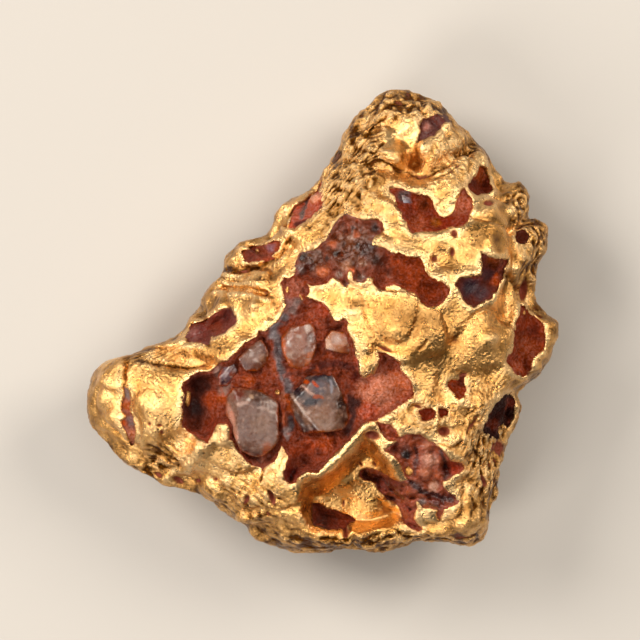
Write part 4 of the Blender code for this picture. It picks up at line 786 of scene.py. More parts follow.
# zones of crumpled gold, where the rest is smoother: x, y, half width, half length, turn, weight
crumpleZones = [
    (3.5, 15.5, 3.0, 6.0, -20, 0.9), (9.0, 21.5, 4.5, 1.6, 0, 0.8), (13.5, 16.5, 3.0, 2.0, 45, 0.6),
    (16.5, -13.0, 2.6, 6.0, 0, 0.9), (-6.5, -18.0, 5.0, 3.0, 0, 0.5), (-7.5, 4.5, 3.5, 3.0, 0, 0.15),
    (-16.0, -3.6, 5.0, 1.0, 12, 0.45), (21.0, 9.0, 1.6, 6.0, 0, 0.7), (-16.5, -14.5, 4.0, 1.4, 30, 0.8),
    (6.0, -22.0, 9.0, 1.1, 0, 0.9), (9.5, -9.5, 3.0, 2.0, 0, 0.4), (1.5, 10.5, 2.0, 2.5, 0, 0.5),
]
# zones of painted light, brighter than the rest (above 0), and of painted shade, duller than the rest
# (below 0)
lightAndShadeZones = [
    (-21.4, -8.0, 1.4, 3.5, 0, 0.45), (-16.8, -9.4, 1.6, 3.0, 0, 0.3), (-10.4, -15.4, 2.6, 1.4, -20, 0.25),
    (-14.4, -6.2, 1.4, 1.8, 0, -0.3), (-13.2, -13.4, 3.0, 1.6, 20, 0.5), (0.9, -22.2, 5.0, 0.8, 0, -0.4),
    (9.5, 0.2, 3.4, 2.2, 0, -0.5), (16.0, 8.4, 2.4, 3.6, 0, -0.25), (12.6, -3.4, 3.0, 1.6, 0, -0.2),
    (5.4, -19.8, 2.8, 0.8, 5, 0.6), (1.6, -14.9, 0.8, 2.6, -50, 0.35), (12.9, 17.2, 2.2, 1.8, 40, 0.6),
    (2.9, 12.8, 2.0, 2.0, 0, -0.15), (-8.8, 3.4, 2.4, 0.9, -5, 0.8), (-6.4, 1.0, 2.0, 0.8, 0, 0.3),
    (-10.1, -2.9, 1.6, 0.8, -30, -0.5), (21.4, 8.0, 1.0, 2.0, 0, -0.2), (-8.0, 4.6, 2.6, 0.25, -5, -0.5),
    (-3.9, 10.6, 0.8, 1.0, -20, 0.8), (6.9, 18.7, 1.6, 1.3, 0, 0.45), (12.4, 16.6, 1.6, 1.4, 0, 0.3),
    (-15.4, -13.2, 1.5, 0.8, -35, -0.5), (-12.7, -14.0, 0.9, 1.7, -25, 0.6),
    (-9.0, -15.6, 2.4, 1.6, 0, 0.25),
]
# zones without folds, and zones without hollows
smoothZones = [(3.5, -17.5, 5.0, 3.4, 0, 1.0), (7.8, 18.2, 2.0, 1.4, 0, 0.8), (14.5, 8.0, 3.0, 3.0, 0, 0.5)]
calmZones = [(3.5, -17.5, 5.0, 3.4, 0, 1.0), (12.4, -3.0, 6.0, 3.6, 0, 0.9),
             (-18.0, -8.4, 4.6, 4.4, 0, 0.7), (9.0, 0.6, 4.2, 2.4, 0, 0.8),
             (-12.7, -14.0, 1.4, 1.9, -25, 0.9), (-7.6, 2.9, 3.0, 1.6, 0, 0.7)]
# zones that glow orange, where light goes to and fro between gold walls
glowZones = [
    (9.2, 16.2, 0.7, 0.9, 0, 0.6), (-0.6, -17.6, 1.2, 3.0, 0, 0.22), (4.8, -11.8, 1.0, 0.8, 0, 0.3),
    (5.6, -13.4, 2.5, 0.9, -30, 0.2), (2.0, -18.6, 3.5, 1.0, -10, 0.05), (7.4, -18.8, 0.9, 2.0, 0, 0.05),
    (13.3, -2.0, 0.5, 0.4, 0, 0.4), (-10.2, -3.9, 1.6, 0.5, 0, 0.5), (-19.4, -4.8, 0.3, 1.6, 0, 0.6),
    (-3.6, -13.0, 0.4, 1.2, 0, 0.5),
]
# orange streaks of painted light down the trough, added to the glow: weight, half width, line
streaks = [
    (0.4, 0.18, [(4.6, -11.4), (3.4, -13.2), (1.6, -15.0), (-0.6, -16.2), (-1.6, -17.6)]),
    (0.4, 0.14, [(4.0, -12.8), (2.6, -14.6), (0.6, -16.0), (-1.0, -17.4), (-1.4, -19.6)]),
    (0.45, 0.13, [(5.4, -14.0), (3.2, -15.2), (1.4, -16.8), (1.2, -18.8)]),
    (0.45, 0.1, [(3.8, -15.8), (3.0, -17.0), (3.2, -18.4)]),
    (0.2, 0.2, [(7.6, -15.8), (8.6, -17.6), (8.8, -19.6)]),
]
# small holes: x, y, half width, half length, turn, depth
pits = [
    (-16.0, -10.5, 0.18, 0.14, 0, 0.5), (-15.8, -11.2, 0.14, 0.2, 0, 0.5),
    (-17.1, -10.3, 0.15, 0.15, 0, 0.4), (-10.5, -15.8, 0.16, 0.16, 0, 0.4),
    (-12.4, -16.0, 0.2, 0.15, 0, 0.4), (16.6, 11.6, 0.4, 0.22, 0, 0.6), (13.2, 8.6, 0.25, 0.25, 0, 0.6),
    (13.0, 6.8, 0.16, 0.35, 0, 0.5), (11.2, 6.1, 0.25, 0.25, 0, 0.5), (-4.9, -17.6, 0.2, 0.6, 20, 0.8),
    (-7.4, -17.8, 0.18, 0.4, -30, 0.7), (16.2, -15.9, 0.15, 0.55, 25, 0.8), (17.8, -12.7, 0.4, 0.6, 0, 0.6),
    (13.3, -2.0, 0.4, 0.3, 0, 0.15), (4.0, -14.3, 0.1, 0.2, 30, 0.4), (5.3, -14.3, 0.1, 0.2, 30, 0.4),
    (2.3, -18.2, 0.1, 0.3, 0, 0.4), (5.1, -11.4, 0.5, 0.35, 0, 0.9), (12.2, -11.0, 0.45, 0.35, 0, 0.9),
    (20.2, 2.9, 0.3, 0.8, -15, 0.8), (2.4, -21.0, 0.2, 0.5, 0, 0.6), (-7.0, 2.7, 0.15, 0.25, 0, 0.3),
    (-14.2, -16.0, 0.5, 0.25, -30, 0.5), (-16.3, -15.5, 0.35, 0.2, -30, 0.4),
    (14.1, -5.5, 0.5, 0.2, 20, 0.4), (9.6, -8.5, 0.4, 0.15, -20, 0.4), (6.4, -2.8, 0.6, 0.15, -20, 0.4),
]
# thin cracks: height, half width, line
cracks = [
    (-0.5, 0.12, [(9.7, -3.0), (10.1, -2.6), (10.4, -2.0)]),
    (-0.6, 0.12, [(-5.8, -14.8), (-5.8, -15.4), (-6.1, -15.9)]),
    (-0.5, 0.14, [(-19.5, -3.4), (-19.3, -4.6), (-19.5, -6.8)]), (-0.5, 0.1, [(6.0, 3.1), (7.5, 2.9)]),
    (-0.4, 0.1, [(2.2, 12.8), (1.0, 11.5), (0.5, 10.6)]),
    (-0.6, 0.14, [(5.9, 15.8), (7.6, 15.0), (9.6, 14.3), (11.0, 14.5), (12.6, 15.6), (15.0, 17.0)]),
    (-0.4, 0.1, [(11.0, 14.9), (12.8, 16.1), (14.6, 17.2)]),
    (-0.4, 0.1, [(11.2, 14.0), (13.0, 15.0), (15.2, 16.4)]),
    (-0.5, 0.12, [(3.4, 17.2), (5.0, 16.8), (6.4, 17.6)]),
    (-0.5, 0.12, [(4.2, 18.4), (5.2, 19.6), (6.6, 20.4)]),
    (-0.5, 0.15, [(-18.6, -3.9), (-15.6, -4.3), (-12.4, -4.6), (-10.6, -4.3)]),
    (-0.4, 0.3, [(-17.2, -12.6), (-15.2, -13.6), (-13.8, -14.8)]),
    (0.35, 0.3, [(-12.2, -12.0), (-12.3, -13.4), (-13.0, -15.0)]),
    (-0.4, 0.12, [(12.7, -21.6), (14.0, -21.9), (15.6, -21.4)]),
    (-0.4, 0.12, [(13.0, -22.1), (14.4, -22.4), (15.6, -22.0)]),
    (-0.4, 0.12, [(15.0, -12.0), (16.0, -14.5), (16.3, -17.0)]),
    (-0.5, 0.12, [(11.8, -12.3), (13.0, -12.6), (14.0, -12.1)]),
    (-0.5, 0.15, [(7.2, -20.6), (8.4, -21.6), (9.8, -21.9)]),
    (-0.35, 0.1, [(-10.0, 4.3), (-7.6, 4.0), (-5.6, 4.2)]),
]
# crisp ledges where the skin is folded: height, half width, line
ledges = [
    (-0.4, 0.2, [(-9.8, 3.35), (-7.6, 3.2), (-5.4, 2.8)]),
    (0.5, 0.3, [(-10.4, 2.5), (-7.6, 2.4), (-5.2, 2.1)]),
    (-0.4, 0.3, [(-9.9, 5.1), (-7.0, 5.0), (-4.7, 6.1), (-3.1, 8.0)]),
    (0.35, 0.25, [(-9.4, 4.4), (-7.4, 4.5), (-5.4, 4.6)]),
]
# small hummocks of bright gold: x, y, half width, half length, turn, height
hummocks = [
    (10.3, 17.0, 0.5, 0.8, -20, 0.5), (16.7, -1.8, 0.9, 0.8, 0, 0.35), (8.1, -3.8, 0.7, 0.5, 0, 0.3),
    (12.0, 8.4, 0.8, 0.6, 30, 0.3), (7.4, -1.0, 0.9, 0.6, 20, 0.25), (14.0, -8.0, 0.7, 0.7, 0, 0.3),
    (11.4, -9.9, 0.2, 0.6, 0, 0.4), (-6.6, 1.6, 0.5, 0.5, 0, 0.3), (-5.4, -0.2, 0.6, 0.4, 30, 0.3),
    (-9.6, -11.8, 0.8, 0.7, 0, 0.5), (3.1, 0.8, 0.8, 0.6, 0, 0.3), (4.4, -2.9, 0.6, 0.7, 0, 0.3),
    (19.5, -9.6, 0.3, 0.8, 0, 0.3), (18.9, 11.0, 0.5, 0.6, 0, 0.4), (20.6, 6.3, 0.6, 0.6, 0, 0.35),
    (9.0, -8.0, 1.2, 0.5, 10, 0.3), (10.6, -19.4, 0.9, 0.6, 0, 0.3), (-4.6, 9.0, 0.6, 0.8, -30, 0.3),
]

# relief of the gold in millimetres: layers of noise are height, cell size and seed
goldRelief = {
    "swell": [(0.28, 3.2, 31), (0.11, 1.5, 32), (0.03, 0.75, 33)], "grit": [(0.02, 0.36, 46)],
    "calming": 0.8,
    "crumpleBase": 0.14, "crumpleLeast": 0.03, "crumpleBelow": 0.55, "folding": 0.95,
    "rippleHeight": 0.07, "rippleWidth": 0.5, "halfAcross": 19,
    "wander": [(0.25, 1.6, 47), (0.1, 0.5, 49)],
    "curlPlace": (20.0, 12.0), "curlHeight": 0.12, "curlWidth": 0.6, "curlReach": 1.3,
    "lipHeight": 0.07, "rimWidth": 0.3, "rimRagged": 0.06, "wallFrom": -0.06, "wallFull": 0.3,
    "fineDepth": 0.12, "fineBlur": 5, "wideDepth": 0.3, "wideBlur": 14,
    "fibreAcross": 0.22, "fibreLength": 13,
}

print("building gold", flush=True)
r = goldRelief
lift = directions[:, 2]
share = np.hypot(directions[:, 0], directions[:, 1]) ** goldSkin["sidePower"]
topShare = softStep(-0.05, 0.15, lift)
crumple = r["crumpleBase"] + hills(flatPlaces, crumpleZones) - hills(flatPlaces, smoothZones)
crumple = np.clip(crumple, r["crumpleLeast"], 1.0) * topShare + r["crumpleBelow"] * (1 - topShare)
calm = np.minimum(1, hills(flatPlaces, calmZones)) * topShare
relief = layers(skin, r["swell"])
relief *= 1 - r["calming"] * calm
# folds of the skin: sharp crests out and in, with finer noise on them
folded = 0.2 * (crests(skin, 2.3, 41, 2.2) - 0.3) - 0.18 * crests(skin, 1.5, 42, 2.4)
folded += 0.16 * noise(skin, 0.6, 43) + 0.14 * noise(skin, 0.36, 44) - 0.08 * crests(skin, 0.8, 59, 2.4)
relief += r["folding"] * crumple * folded + layers(skin, r["grit"])
# ripples that follow the outline near the edge
edgeDistance = (1 - share) * r["halfAcross"]
ripple = np.sin(edgeDistance * math.tau / r["rippleWidth"] + 3 * noise(skin, 3.0, 45))
relief += r["rippleHeight"] * ripple * crumple * softStep(0.6, 0.85, share) * topShare
# ledges, cracks and hummocks, on lines that wander and break off
wander = drifted(0, skin, r["wander"])
broken = 0.5 + 0.6 * noise(skin, 1.3, 58)
relief += ridges(flatPlaces + 0.8 * wander, ledges) * np.clip(broken + 0.4, 0.3, 1) * topShare
cracked = ridges(flatPlaces + wander, cracks) * np.clip(broken, 0.1, 1)
relief += (cracked + hills(flatPlaces, hummocks)) * topShare
pitDepth = hills(flatPlaces, pits) * topShare
# rings round the curled lobe: a cosine of the distance that dies away
lobe = np.hypot(skin[:, 0] - r["curlPlace"][0], skin[:, 1] - r["curlPlace"][1])
curl = r["curlHeight"] * np.cos(lobe * math.tau / r["curlWidth"])
relief += curl * np.exp(-((lobe / r["curlReach"]) ** 2)) * topShare

gold = skin.copy()
wallAll = np.zeros(len(skin))
rimAll = np.zeros(len(skin))
fillings = {}
for name, values in pockets.items():
    fields = pocketFields(values)
    ragged = fields["depth"] + r["rimRagged"] * noise(skin, 0.5, 53)
    wall = softStep(r["wallFrom"], r["wallFull"], ragged)
    gold -= fields["axis"] * (fields["floor"] * wall)[:, None]
    rim = np.exp(-(((ragged + r["rimWidth"]) / r["rimWidth"]) ** 2)) * (fields["depth"] > -3)
    rimAll = np.maximum(rimAll, rim)
    wallAll = np.maximum(wallAll, wall)
    node = "ironstone_" + name
    piece = filling(node + "_looks", values, fields)
    fillings[name] = piece
    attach(piece, "root")
    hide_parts(node)
print("fillings", len(fillings), flush=True)

lips = r["lipHeight"] * rimAll * (0.7 + 0.8 * noise(skin, 1.4, 54))
gold += normals * ((relief + lips) * (1 - wallAll) - pitDepth)[:, None]

# how far each point lies below the blurred heights round it; this becomes the gold's painted shading:
# painted shade where it lies below them, painted highlight where it stands above them
height = ((gold - skin) * normals).sum(axis=1)[1:-1].reshape(len(lifts), around)
fine = np.clip((blurred(height, r["fineBlur"] // coarse) - height) / r["fineDepth"], -1, 1).ravel()
wide = np.clip((blurred(height, r["wideBlur"] // coarse) - height) / r["wideDepth"], -1, 1).ravel()
hollow = np.concatenate([[0], 0.65 * fine + 0.35 * wide, [0]]) * (1 - 0.6 * calm)
# places for fibres that follow the outline: 0.22 mm across them, about 1.5 mm along them
fibre = np.column_stack([
    edgeDistance / r["fibreAcross"] + 2.2 * noise(skin, 2.6, 74) + 0.7 * noise(skin, 1.0, 75),
    directions[:, :2] / (share[:, None] + 1e-6) * r["fibreLength"]])
# a brown film in the pockets, the pits and the deeper hollows
filmNoise = noise(skin, 2.2, 71) + 0.6 * noise(skin, 0.9, 72)
stain = 0.95 * wallAll + 0.9 * np.minimum(1, pitDepth / 0.3)
stain += 0.45 * rimAll * softStep(0.0, 0.8, filmNoise)
stain += 0.65 * softStep(0.3, 0.9, hollow + 0.35 * (lift < 0)) * softStep(-0.2, 0.7, filmNoise)
# the flanks get less painted shading, the outer edge on top gets painted shade, and the listed zones get
# painted light and painted shade
hollow *= 1 - 0.45 * (1 - topShare)
edgeShade = 0.3 * softStep(0.8, 1.0, share) * softStep(-0.4, 0.0, lift)
hollow += edgeShade - hills(flatPlaces, lightAndShadeZones) * topShare
# in the trough the painted shading is drawn towards an even, slight painted shade
inTrough = softStep(0, 0.7, nearDepth(flatPlaces, trough)) * topShare
hollow += (0.12 - hollow) * 0.6 * inTrough
# orange light between the walls, in stripes
stripes = 0.8 + 0.5 * np.sin(skin[:, 0] * 5 + 3 * noise(skin, 2.0, 73))
glow = (hills(flatPlaces, glowZones) + ridges(flatPlaces + wander, streaks)) * topShare * stripes
gold = np.clip(gold, np.array(cadLow) / mm, np.array(cadHigh) / mm)
goldPiece = meshPiece("gold_nugget_looks", gold, skinQuads, skinFans, {
    "stain": np.clip(stain, 0, 1), "hollow": hollow, "glow": np.clip(glow, 0, 1), "crumple": crumple,
    "fibre": fibre})
thinned(goldPiece, goldSkin["triangles"] // coarse)
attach(goldPiece, "root")
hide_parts("gold_nugget")
print("gold", len(goldPiece.data.vertices), flush=True)

# quartz grains: how far the top lies below the skin, the ring, the facets (azimuth, slope, drop), tones
grains = {
    "quartz_lower_left": {
        "below": 0.3, "tone": "#7B5F54", "rough": 0.3,
        "ring": [(-4.1, -8.1), (-4.9, -7.4), (-6.3, -6.6), (-8.9, -6.6), (-9.5, -7.6), (-9.5, -9.4),
                 (-8.1, -12.9), (-6.6, -13.7), (-5.2, -13.3), (-4.1, -12.0)],
        "facets": [(84, 24, 0.12), (-100, 34, -0.1), (180, 48, 0.2), (45, 28, 0.1)],
        "spots": [(-6.0, -7.4, 1.1, "#5C463E", 0.26), (-8.4, -7.3, 0.8, "#74443A", 0.4),
                  (-7.2, -7.9, 0.22, "#D8CCC4", 0.25), (-6.9, -7.6, 0.25, "#C2A894", 0.3),
                  (-5.9, -10.2, 1.1, "#886C5D", 0.28), (-7.6, -10.8, 0.7, "#70564D", 0.28),
                  (-5.4, -12.6, 0.6, "#9A6A58", 0.3), (-6.4, -13.5, 0.6, "#4A2A26", 0.3),
                  (-5.6, -13.3, 0.35, "#B4604A", 0.4), (-7.4, -12.9, 0.5, "#5E403A", 0.3)],
        "bands": [([(-9.4, -8.6), (-8.9, -9.6), (-8.6, -11.4)], 0.5, "#D0A090", 0.42),
                  ([(-8.1, -8.3), (-7.2, -8.2)], 0.18, "#B89C90", 0.3),
                  ([(-6.2, -8.6), (-4.4, -9.0)], 0.14, "#B09A90", 0.3)]},
    "quartz_lower_right": {
        "below": 0.2, "tone": "#6E5042", "rough": 0.3,
        "ring": [(-3.5, -6.4), (-2.9, -5.3), (1.2, -5.0), (2.0, -6.6), (2.7, -8.3), (2.9, -9.8),
                 (2.3, -10.9), (1.4, -11.1), (-1.8, -11.3), (-2.7, -10.2)],
        "facets": [(135, 52, 0.45), (-8, 40, 0.3), (-140, 38, 0.2), (75, 12, 0.1)],
        "spots": [(-0.2, -9.4, 1.5, "#8C6A58", 0.3), (0.2, -10.2, 0.8, "#8A6C5A", 0.3),
                  # the two dark spots on the east side are painted shade on the grain's steep east side
                  (2.4, -8.2, 0.9, "#33221F", 0.24), (2.3, -9.8, 0.6, "#4A342C", 0.24),
                  (-0.4, -6.5, 1.0, "#564A50", 0.24), (-1.4, -9.2, 0.4, "#B49C90", 0.3)],
        "bands": [([(-2.6, -6.0), (-2.3, -7.2), (-1.3, -7.9), (-0.3, -7.9)], 0.6, "#2C2126", 0.24),
                  ([(-2.2, -5.6), (0.4, -5.4), (1.5, -6.2)], 0.45, "#30252A", 0.24),
                  ([(-2.5, -9.6), (-1.9, -10.7), (-0.9, -10.8)], 0.55, "#33262A", 0.24),
                  ([(-3.0, -7.2), (-2.2, -8.3), (-1.7, -8.9)], 0.13, "#C8B4A8", 0.25),
                  ([(-1.9, -6.3), (-1.3, -7.0), (-0.7, -7.4)], 0.12, "#C4A498", 0.3),
                  ([(-0.7, -7.5), (0.2, -7.6)], 0.16, "#A05A44", 0.4),
                  ([(0.9, -5.9), (1.0, -6.9)], 0.14, "#8E888E", 0.22),
                  ([(-1.9, -6.0), (-1.3, -6.0)], 0.14, "#B8502C", 0.5),
                  ([(-0.7, -6.1), (-0.5, -6.3)], 0.22, "#C0522C", 0.5)]},
    "quartz_upper": {
        "below": 0.5, "tone": "#926252", "rough": 0.34,
        "ring": [(-4.0, -1.6), (-3.1, -0.6), (-1.2, -0.1), (-0.5, -0.6), (-0.3, -2.6), (-1.0, -4.4),
                 (-2.0, -5.0), (-3.2, -4.6), (-3.9, -3.2)],
        "facets": [(150, 38, 0.2), (15, 30, 0.2), (-90, 24, 0.3)],
        "spots": [(-2.4, -2.6, 1.2, "#9A7466", 0.3), (-0.9, -1.6, 0.6, "#86706C", 0.3),
                  (-1.3, -2.9, 0.5, "#8E746C", 0.3), (-2.2, -1.6, 0.3, "#C6B4AC", 0.3),
                  (-3.2, -2.3, 0.3, "#C4B2AC", 0.3), (-1.3, -0.7, 0.35, "#BCA498", 0.3),
                  (-3.2, -3.4, 0.35, "#C0A496", 0.35)],
        "bands": [([(-3.9, -1.8), (-3.8, -3.4), (-3.0, -4.5)], 0.3, "#C07A62", 0.45),
                  ([(-0.9, -3.4), (-1.3, -4.6)], 0.35, "#C27C62", 0.45)]},
    "quartz_upper_left": {
        "below": 0.45, "tone": "#6E4A3E", "rough": 0.3,
        "ring": [(-8.4, -3.7), (-6.6, -1.9), (-5.8, -1.8), (-5.1, -3.0), (-5.1, -4.2), (-6.2, -5.1),
                 (-7.6, -5.1)],
        "facets": [(125, 38, 0.15), (-40, 22, 0.2)],
        "spots": [(-6.6, -3.5, 0.8, "#7C5E52", 0.28), (-7.9, -4.4, 0.6, "#6A504C", 0.28),
                  (-6.9, -3.3, 0.25, "#B8A8A2", 0.28), (-6.5, -3.9, 0.2, "#B4A49E", 0.28),
                  (-6.2, -2.2, 0.5, "#6C4E46", 0.3), (-5.8, -3.6, 0.35, "#94705E", 0.3)],
        "bands": [([(-5.4, -2.6), (-5.2, -3.4)], 0.13, "#C8B0A0", 0.3)]},
    "quartz_upper_right": {
        "below": 0.4, "tone": "#B4826A", "rough": 0.34,
        "ring": [(0.3, -1.8), (1.0, -0.9), (2.5, -1.1), (3.1, -2.3), (3.1, -3.4), (1.8, -3.3), (0.4, -2.9)],
        "facets": [(110, 18, 0.15), (-70, 26, 0.2)],
        "spots": [(0.6, -2.3, 0.5, "#E0C0AC", 0.34), (1.6, -1.9, 0.5, "#C8ACA0", 0.3),
                  (2.6, -3.0, 0.5, "#96604E", 0.4), (0.8, -3.0, 0.3, "#C8BCBE", 0.3),
                  (2.3, -1.6, 0.35, "#B48474", 0.35)]},
    "quartz_small_left": {
        "below": 0.7, "tone": "#6C565A", "rough": 0.26,
        "ring": [(-10.3, -5.3), (-9.6, -4.3), (-8.6, -4.0), (-8.1, -4.9), (-8.7, -6.0), (-9.3, -6.6),
                 (-10.2, -6.6)],
        "facets": [(140, 40, 0.2), (-60, 26, 0.3)],
        "spots": [(-9.4, -5.3, 0.35, "#9C8A8A", 0.25), (-9.9, -6.2, 0.4, "#4A363E", 0.26),
                  (-8.6, -5.4, 0.4, "#7E4A3E", 0.35)]},
    "vee_grain": {
        "below": 0.5, "tone": "#6E6672", "rough": 0.28,
        "ring": [(7.5, 12.2), (8.2, 12.6), (9.0, 12.2), (9.2, 11.6), (8.8, 10.9), (8.2, 10.8), (7.8, 11.4)],
        "facets": [(160, 24, 0.3), (-30, 28, 0.4)],
        "spots": [(8.0, 12.2, 0.4, "#34282C", 0.3), (8.4, 11.7, 0.3, "#B4B2BE", 0.22)]},
}


# how a grain is rounded and toned: shape in mm, tones as hex colours
grainShape = {
    "halfHeight": 1.9, "depth": 2.2, "sideLean": 0.06, "facetReach": 0.62, "power": 28,
    "rings": 120, "around": 160, "veil": "#B0968A", "rust": "#A8583E",
}


# a crystal worn soft: for each direction, the sum of its outward shares of every face's nearness to a high
# power, taken to minus one over that power, is the radius
def crystal(name, values):
    g = grainShape
    ring = np.array(values["ring"])
    centre = ring.mean(axis=0)
    nearest = np.argmin(np.hypot(*(flatPlaces - centre).T) + 50 * (lift < 0))
    middle = np.array([*centre, skin[nearest, 2] - values["below"] - g["halfHeight"]])
    area = np.sum(ring[:, 0] * np.roll(ring[:, 1], -1) - np.roll(ring[:, 0], -1) * ring[:, 1])
    if area < 0:
        ring = ring[::-1]
    facing, reach = [], []
    for start, end in zip(ring, np.roll(ring, -1, axis=0)):
        along = (end - start) / np.linalg.norm(end - start)
        outward = np.array([along[1], -along[0], g["sideLean"]])
        facing.append(outward / np.linalg.norm(outward))
        reach.append(facing[-1][:2] @ ((start + end) / 2 - centre))
    facing += [np.array([0, 0, 1.0]), np.array([0, 0, -1.0])]
    reach += [g["halfHeight"], g["depth"]]
    for azimuth, slope, drop in values["facets"]:
        side = np.array([math.cos(math.radians(azimuth)), math.sin(math.radians(azimuth))])
        tilt = math.radians(slope)
        facing.append(np.array([*(side * math.sin(tilt)), math.cos(tilt)]))
        edge = max((ring - centre) @ side)
        reach.append(facing[-1] @ np.array([*(side * edge * g["facetReach"]), g["halfHeight"] - drop]))
    colatitudes = np.linspace(0, math.pi, (g["rings"] + 2) // coarse)[1:-1]
    ball = ballDirections(np.cos(colatitudes), g["around"] // coarse)
    nearness = np.zeros(len(ball))
    for normal, distance in zip(facing, reach):
        nearness += (np.maximum(0, ball @ normal) / max(distance, 0.15)) ** g["power"]
    points = middle + ball * (nearness ** (-1 / g["power"]))[:, None]
    points += ball * (0.05 * noise(points, 1.1, 81) + 0.03 * noise(points, 0.45, 82)
                      + 0.03 * crests(points, 1.3, 83, 5.0))[:, None]
    quads, fans = ballFaces(len(colatitudes), g["around"] // coarse)
    tone, rough = tones(points[:, :2], points, values)
    veils = 0.3 * crests(points, 1.7, 84, 5.0) + 0.5 * softStep(0.3, 0.6, noise(points, 0.36, 85))
    tone += (hexColour(g["veil"]) - tone) * veils[:, None]
    edge = softStep(0.4, 0.0, depthInside(points[:, :2], ring) + 0.25 * noise(points, 0.8, 86))
    tone += (hexColour(g["rust"]) - tone) * 0.6 * edge[:, None]
    return meshPiece(name, points, quads, fans, {"tone": tone, "polish": rough})


quartzPieces = []
for name, values in grains.items():
    piece = crystal(name + "_looks", values)
    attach(piece, "root")
    if name.startswith("quartz"):
        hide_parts(name)
    quartzPieces.append(piece)
print("quartz", len(quartzPieces), flush=True)

# flecks of gold caught in the fillings: x, y, below the skin, half width, half length, turn
flecks = {
    "fleck_vein": (-2.1, 2.4, 0.3, 0.28, 1.3, 8), "fleck_vein_small": (-3.3, 2.9, 0.4, 0.22, 0.45, 0),
    "fleck_hollow": (-13.3, -7.7, 0.8, 0.4, 0.8, 0), "fleck_grain": (-4.3, -7.1, 1.2, 0.26, 0.26, 0),
    "fleck_slot": (20.1, 0.7, 0.6, 0.28, 0.3, 0), "fleck_patch": (8.9, -14.8, 0.3, 0.65, 0.55, 0),
    "fleck_east": (18.1, -11.1, 0.7, 0.7, 0.8, 0), "fleck_foot": (10.7, -19.5, 0.9, 1.2, 0.8, 0),
    "fleck_spike": (11.4, -9.4, 0.2, 0.16, 0.6, 0), "fleck_lens": (-6.2, 6.9, 0.5, 0.35, 0.3, 0),
    "fleck_rim": (9.2, -14.2, 0.5, 0.3, 0.5, 20),
}
fleckShape = {"rings": 30, "around": 48, "bury": 0.3, "stain": 0.12, "crumple": 0.4, "seedStep": 3.7}


# a small lump: an oval ball with noise on its radius, turned and set below the skin over it
def fleck(name, x, y, sink, wide, long, turn, seed):
    f = fleckShape
    nearest = np.argmin(np.hypot(skin[:, 0] - x, skin[:, 1] - y) + 50 * (lift < 0))
    ball = ballDirections(np.cos(np.linspace(0, math.pi, f["rings"] + 2)[1:-1]), f["around"])
    ball = ball * (1 + 0.25 * noise(ball + seed, 0.8, 91) + 0.12 * noise(ball + seed, 0.35, 92))[:, None]
    ball = ball * [wide, long, max(0.35, 0.6 * (wide + long) / 2)]
    angle = math.radians(turn)
    turned = np.stack([ball[:, 0] * math.cos(angle) - ball[:, 1] * math.sin(angle),
                       ball[:, 0] * math.sin(angle) + ball[:, 1] * math.cos(angle), ball[:, 2]], axis=1)
    points = turned + [x, y, skin[nearest, 2] - sink - f["bury"]]
    zero = np.zeros(len(points))
    return meshPiece(name, points, *ballFaces(f["rings"], f["around"]), {
        "stain": zero + f["stain"], "hollow": zero, "glow": zero, "crumple": zero + f["crumple"]})


fleckPieces = []
for index, (name, values) in enumerate(flecks.items()):
    piece = fleck(name, *values, index * fleckShape["seedStep"])
    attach(piece, "root")
    fleckPieces.append(piece)
print("flecks", len(fleckPieces), flush=True)


# a shader node with its settings, and its inputs joined or set
def addNode(tree, kind, inputs=None, **settings):
    made = tree.nodes.new(kind)
    for key, value in settings.items():
        setattr(made, key, value)
    for key, value in (inputs or {}).items():
        if isinstance(value, bpy.types.NodeSocket):
            tree.links.new(value, made.inputs[key])
        else:
            made.inputs[key].default_value = value
    return made


# a mix of two colours by a factor: the first where it is 0, the second where it is 1
def mixed(tree, factor, first, second):
    made = addNode(tree, "ShaderNodeMix", {0: factor}, data_type="RGBA", blend_type="MIX")
    for index, value in ((6, first), (7, second)):
        if isinstance(value, bpy.types.NodeSocket):
            tree.links.new(value, made.inputs[index])
        else:
            made.inputs[index].default_value = (*hexColour(value), 1)
    return made.outputs[2]


# a number worked out from two others by a named operation, kept from 0 to 1 where clamp is set
def worked(tree, operation, first, second, clamp=False):
    made = addNode(tree, "ShaderNodeMath", {0: first, 1: second}, operation=operation, use_clamp=clamp)
    return made.outputs[0]


# a straight ramp of a value from one pair of levels to another, held level outside them
def ramped(tree, value, low, high, toLow=0.0, toHigh=1.0):
    return addNode(tree, "ShaderNodeMapRange", {"Value": value, "From Min": low, "From Max": high,
                                                "To Min": toLow, "To Max": toHigh}).outputs["Result"]


# an empty material: its node tree, its shader and the place on the piece in metres
def startMaterial(name):
    made = bpy.data.materials.new(name)
    made.use_nodes = True
    tree = made.node_tree
    tree.nodes.clear()
    shader = addNode(tree, "ShaderNodeBsdfPrincipled")
    addNode(tree, "ShaderNodeOutputMaterial", {"Surface": shader.outputs["BSDF"]})
    place = addNode(tree, "ShaderNodeTexCoord").outputs["Object"]
    return made, tree, shader, place


# a value that the mesh holds at its points
def attributeOf(tree, name, socket="Fac"):
    return addNode(tree, "ShaderNodeAttribute", attribute_name=name).outputs[socket]


# noise with cells of a size in millimetres
def noiseOf(tree, place, size, detail=3.0, roughness=0.55):
    return addNode(tree, "ShaderNodeTexNoise", {"Vector": place, "Scale": 1 / (size * mm), "Detail": detail,
                                                "Roughness": roughness}).outputs["Fac"]


# a bump of a depth in millimetres, joined to the shader
def bumped(tree, shader, height, depth, strength):
    bump = addNode(tree, "ShaderNodeBump", {"Height": height, "Distance": depth * mm, "Strength": strength})
    tree.links.new(bump.outputs["Normal"], shader.inputs["Normal"])
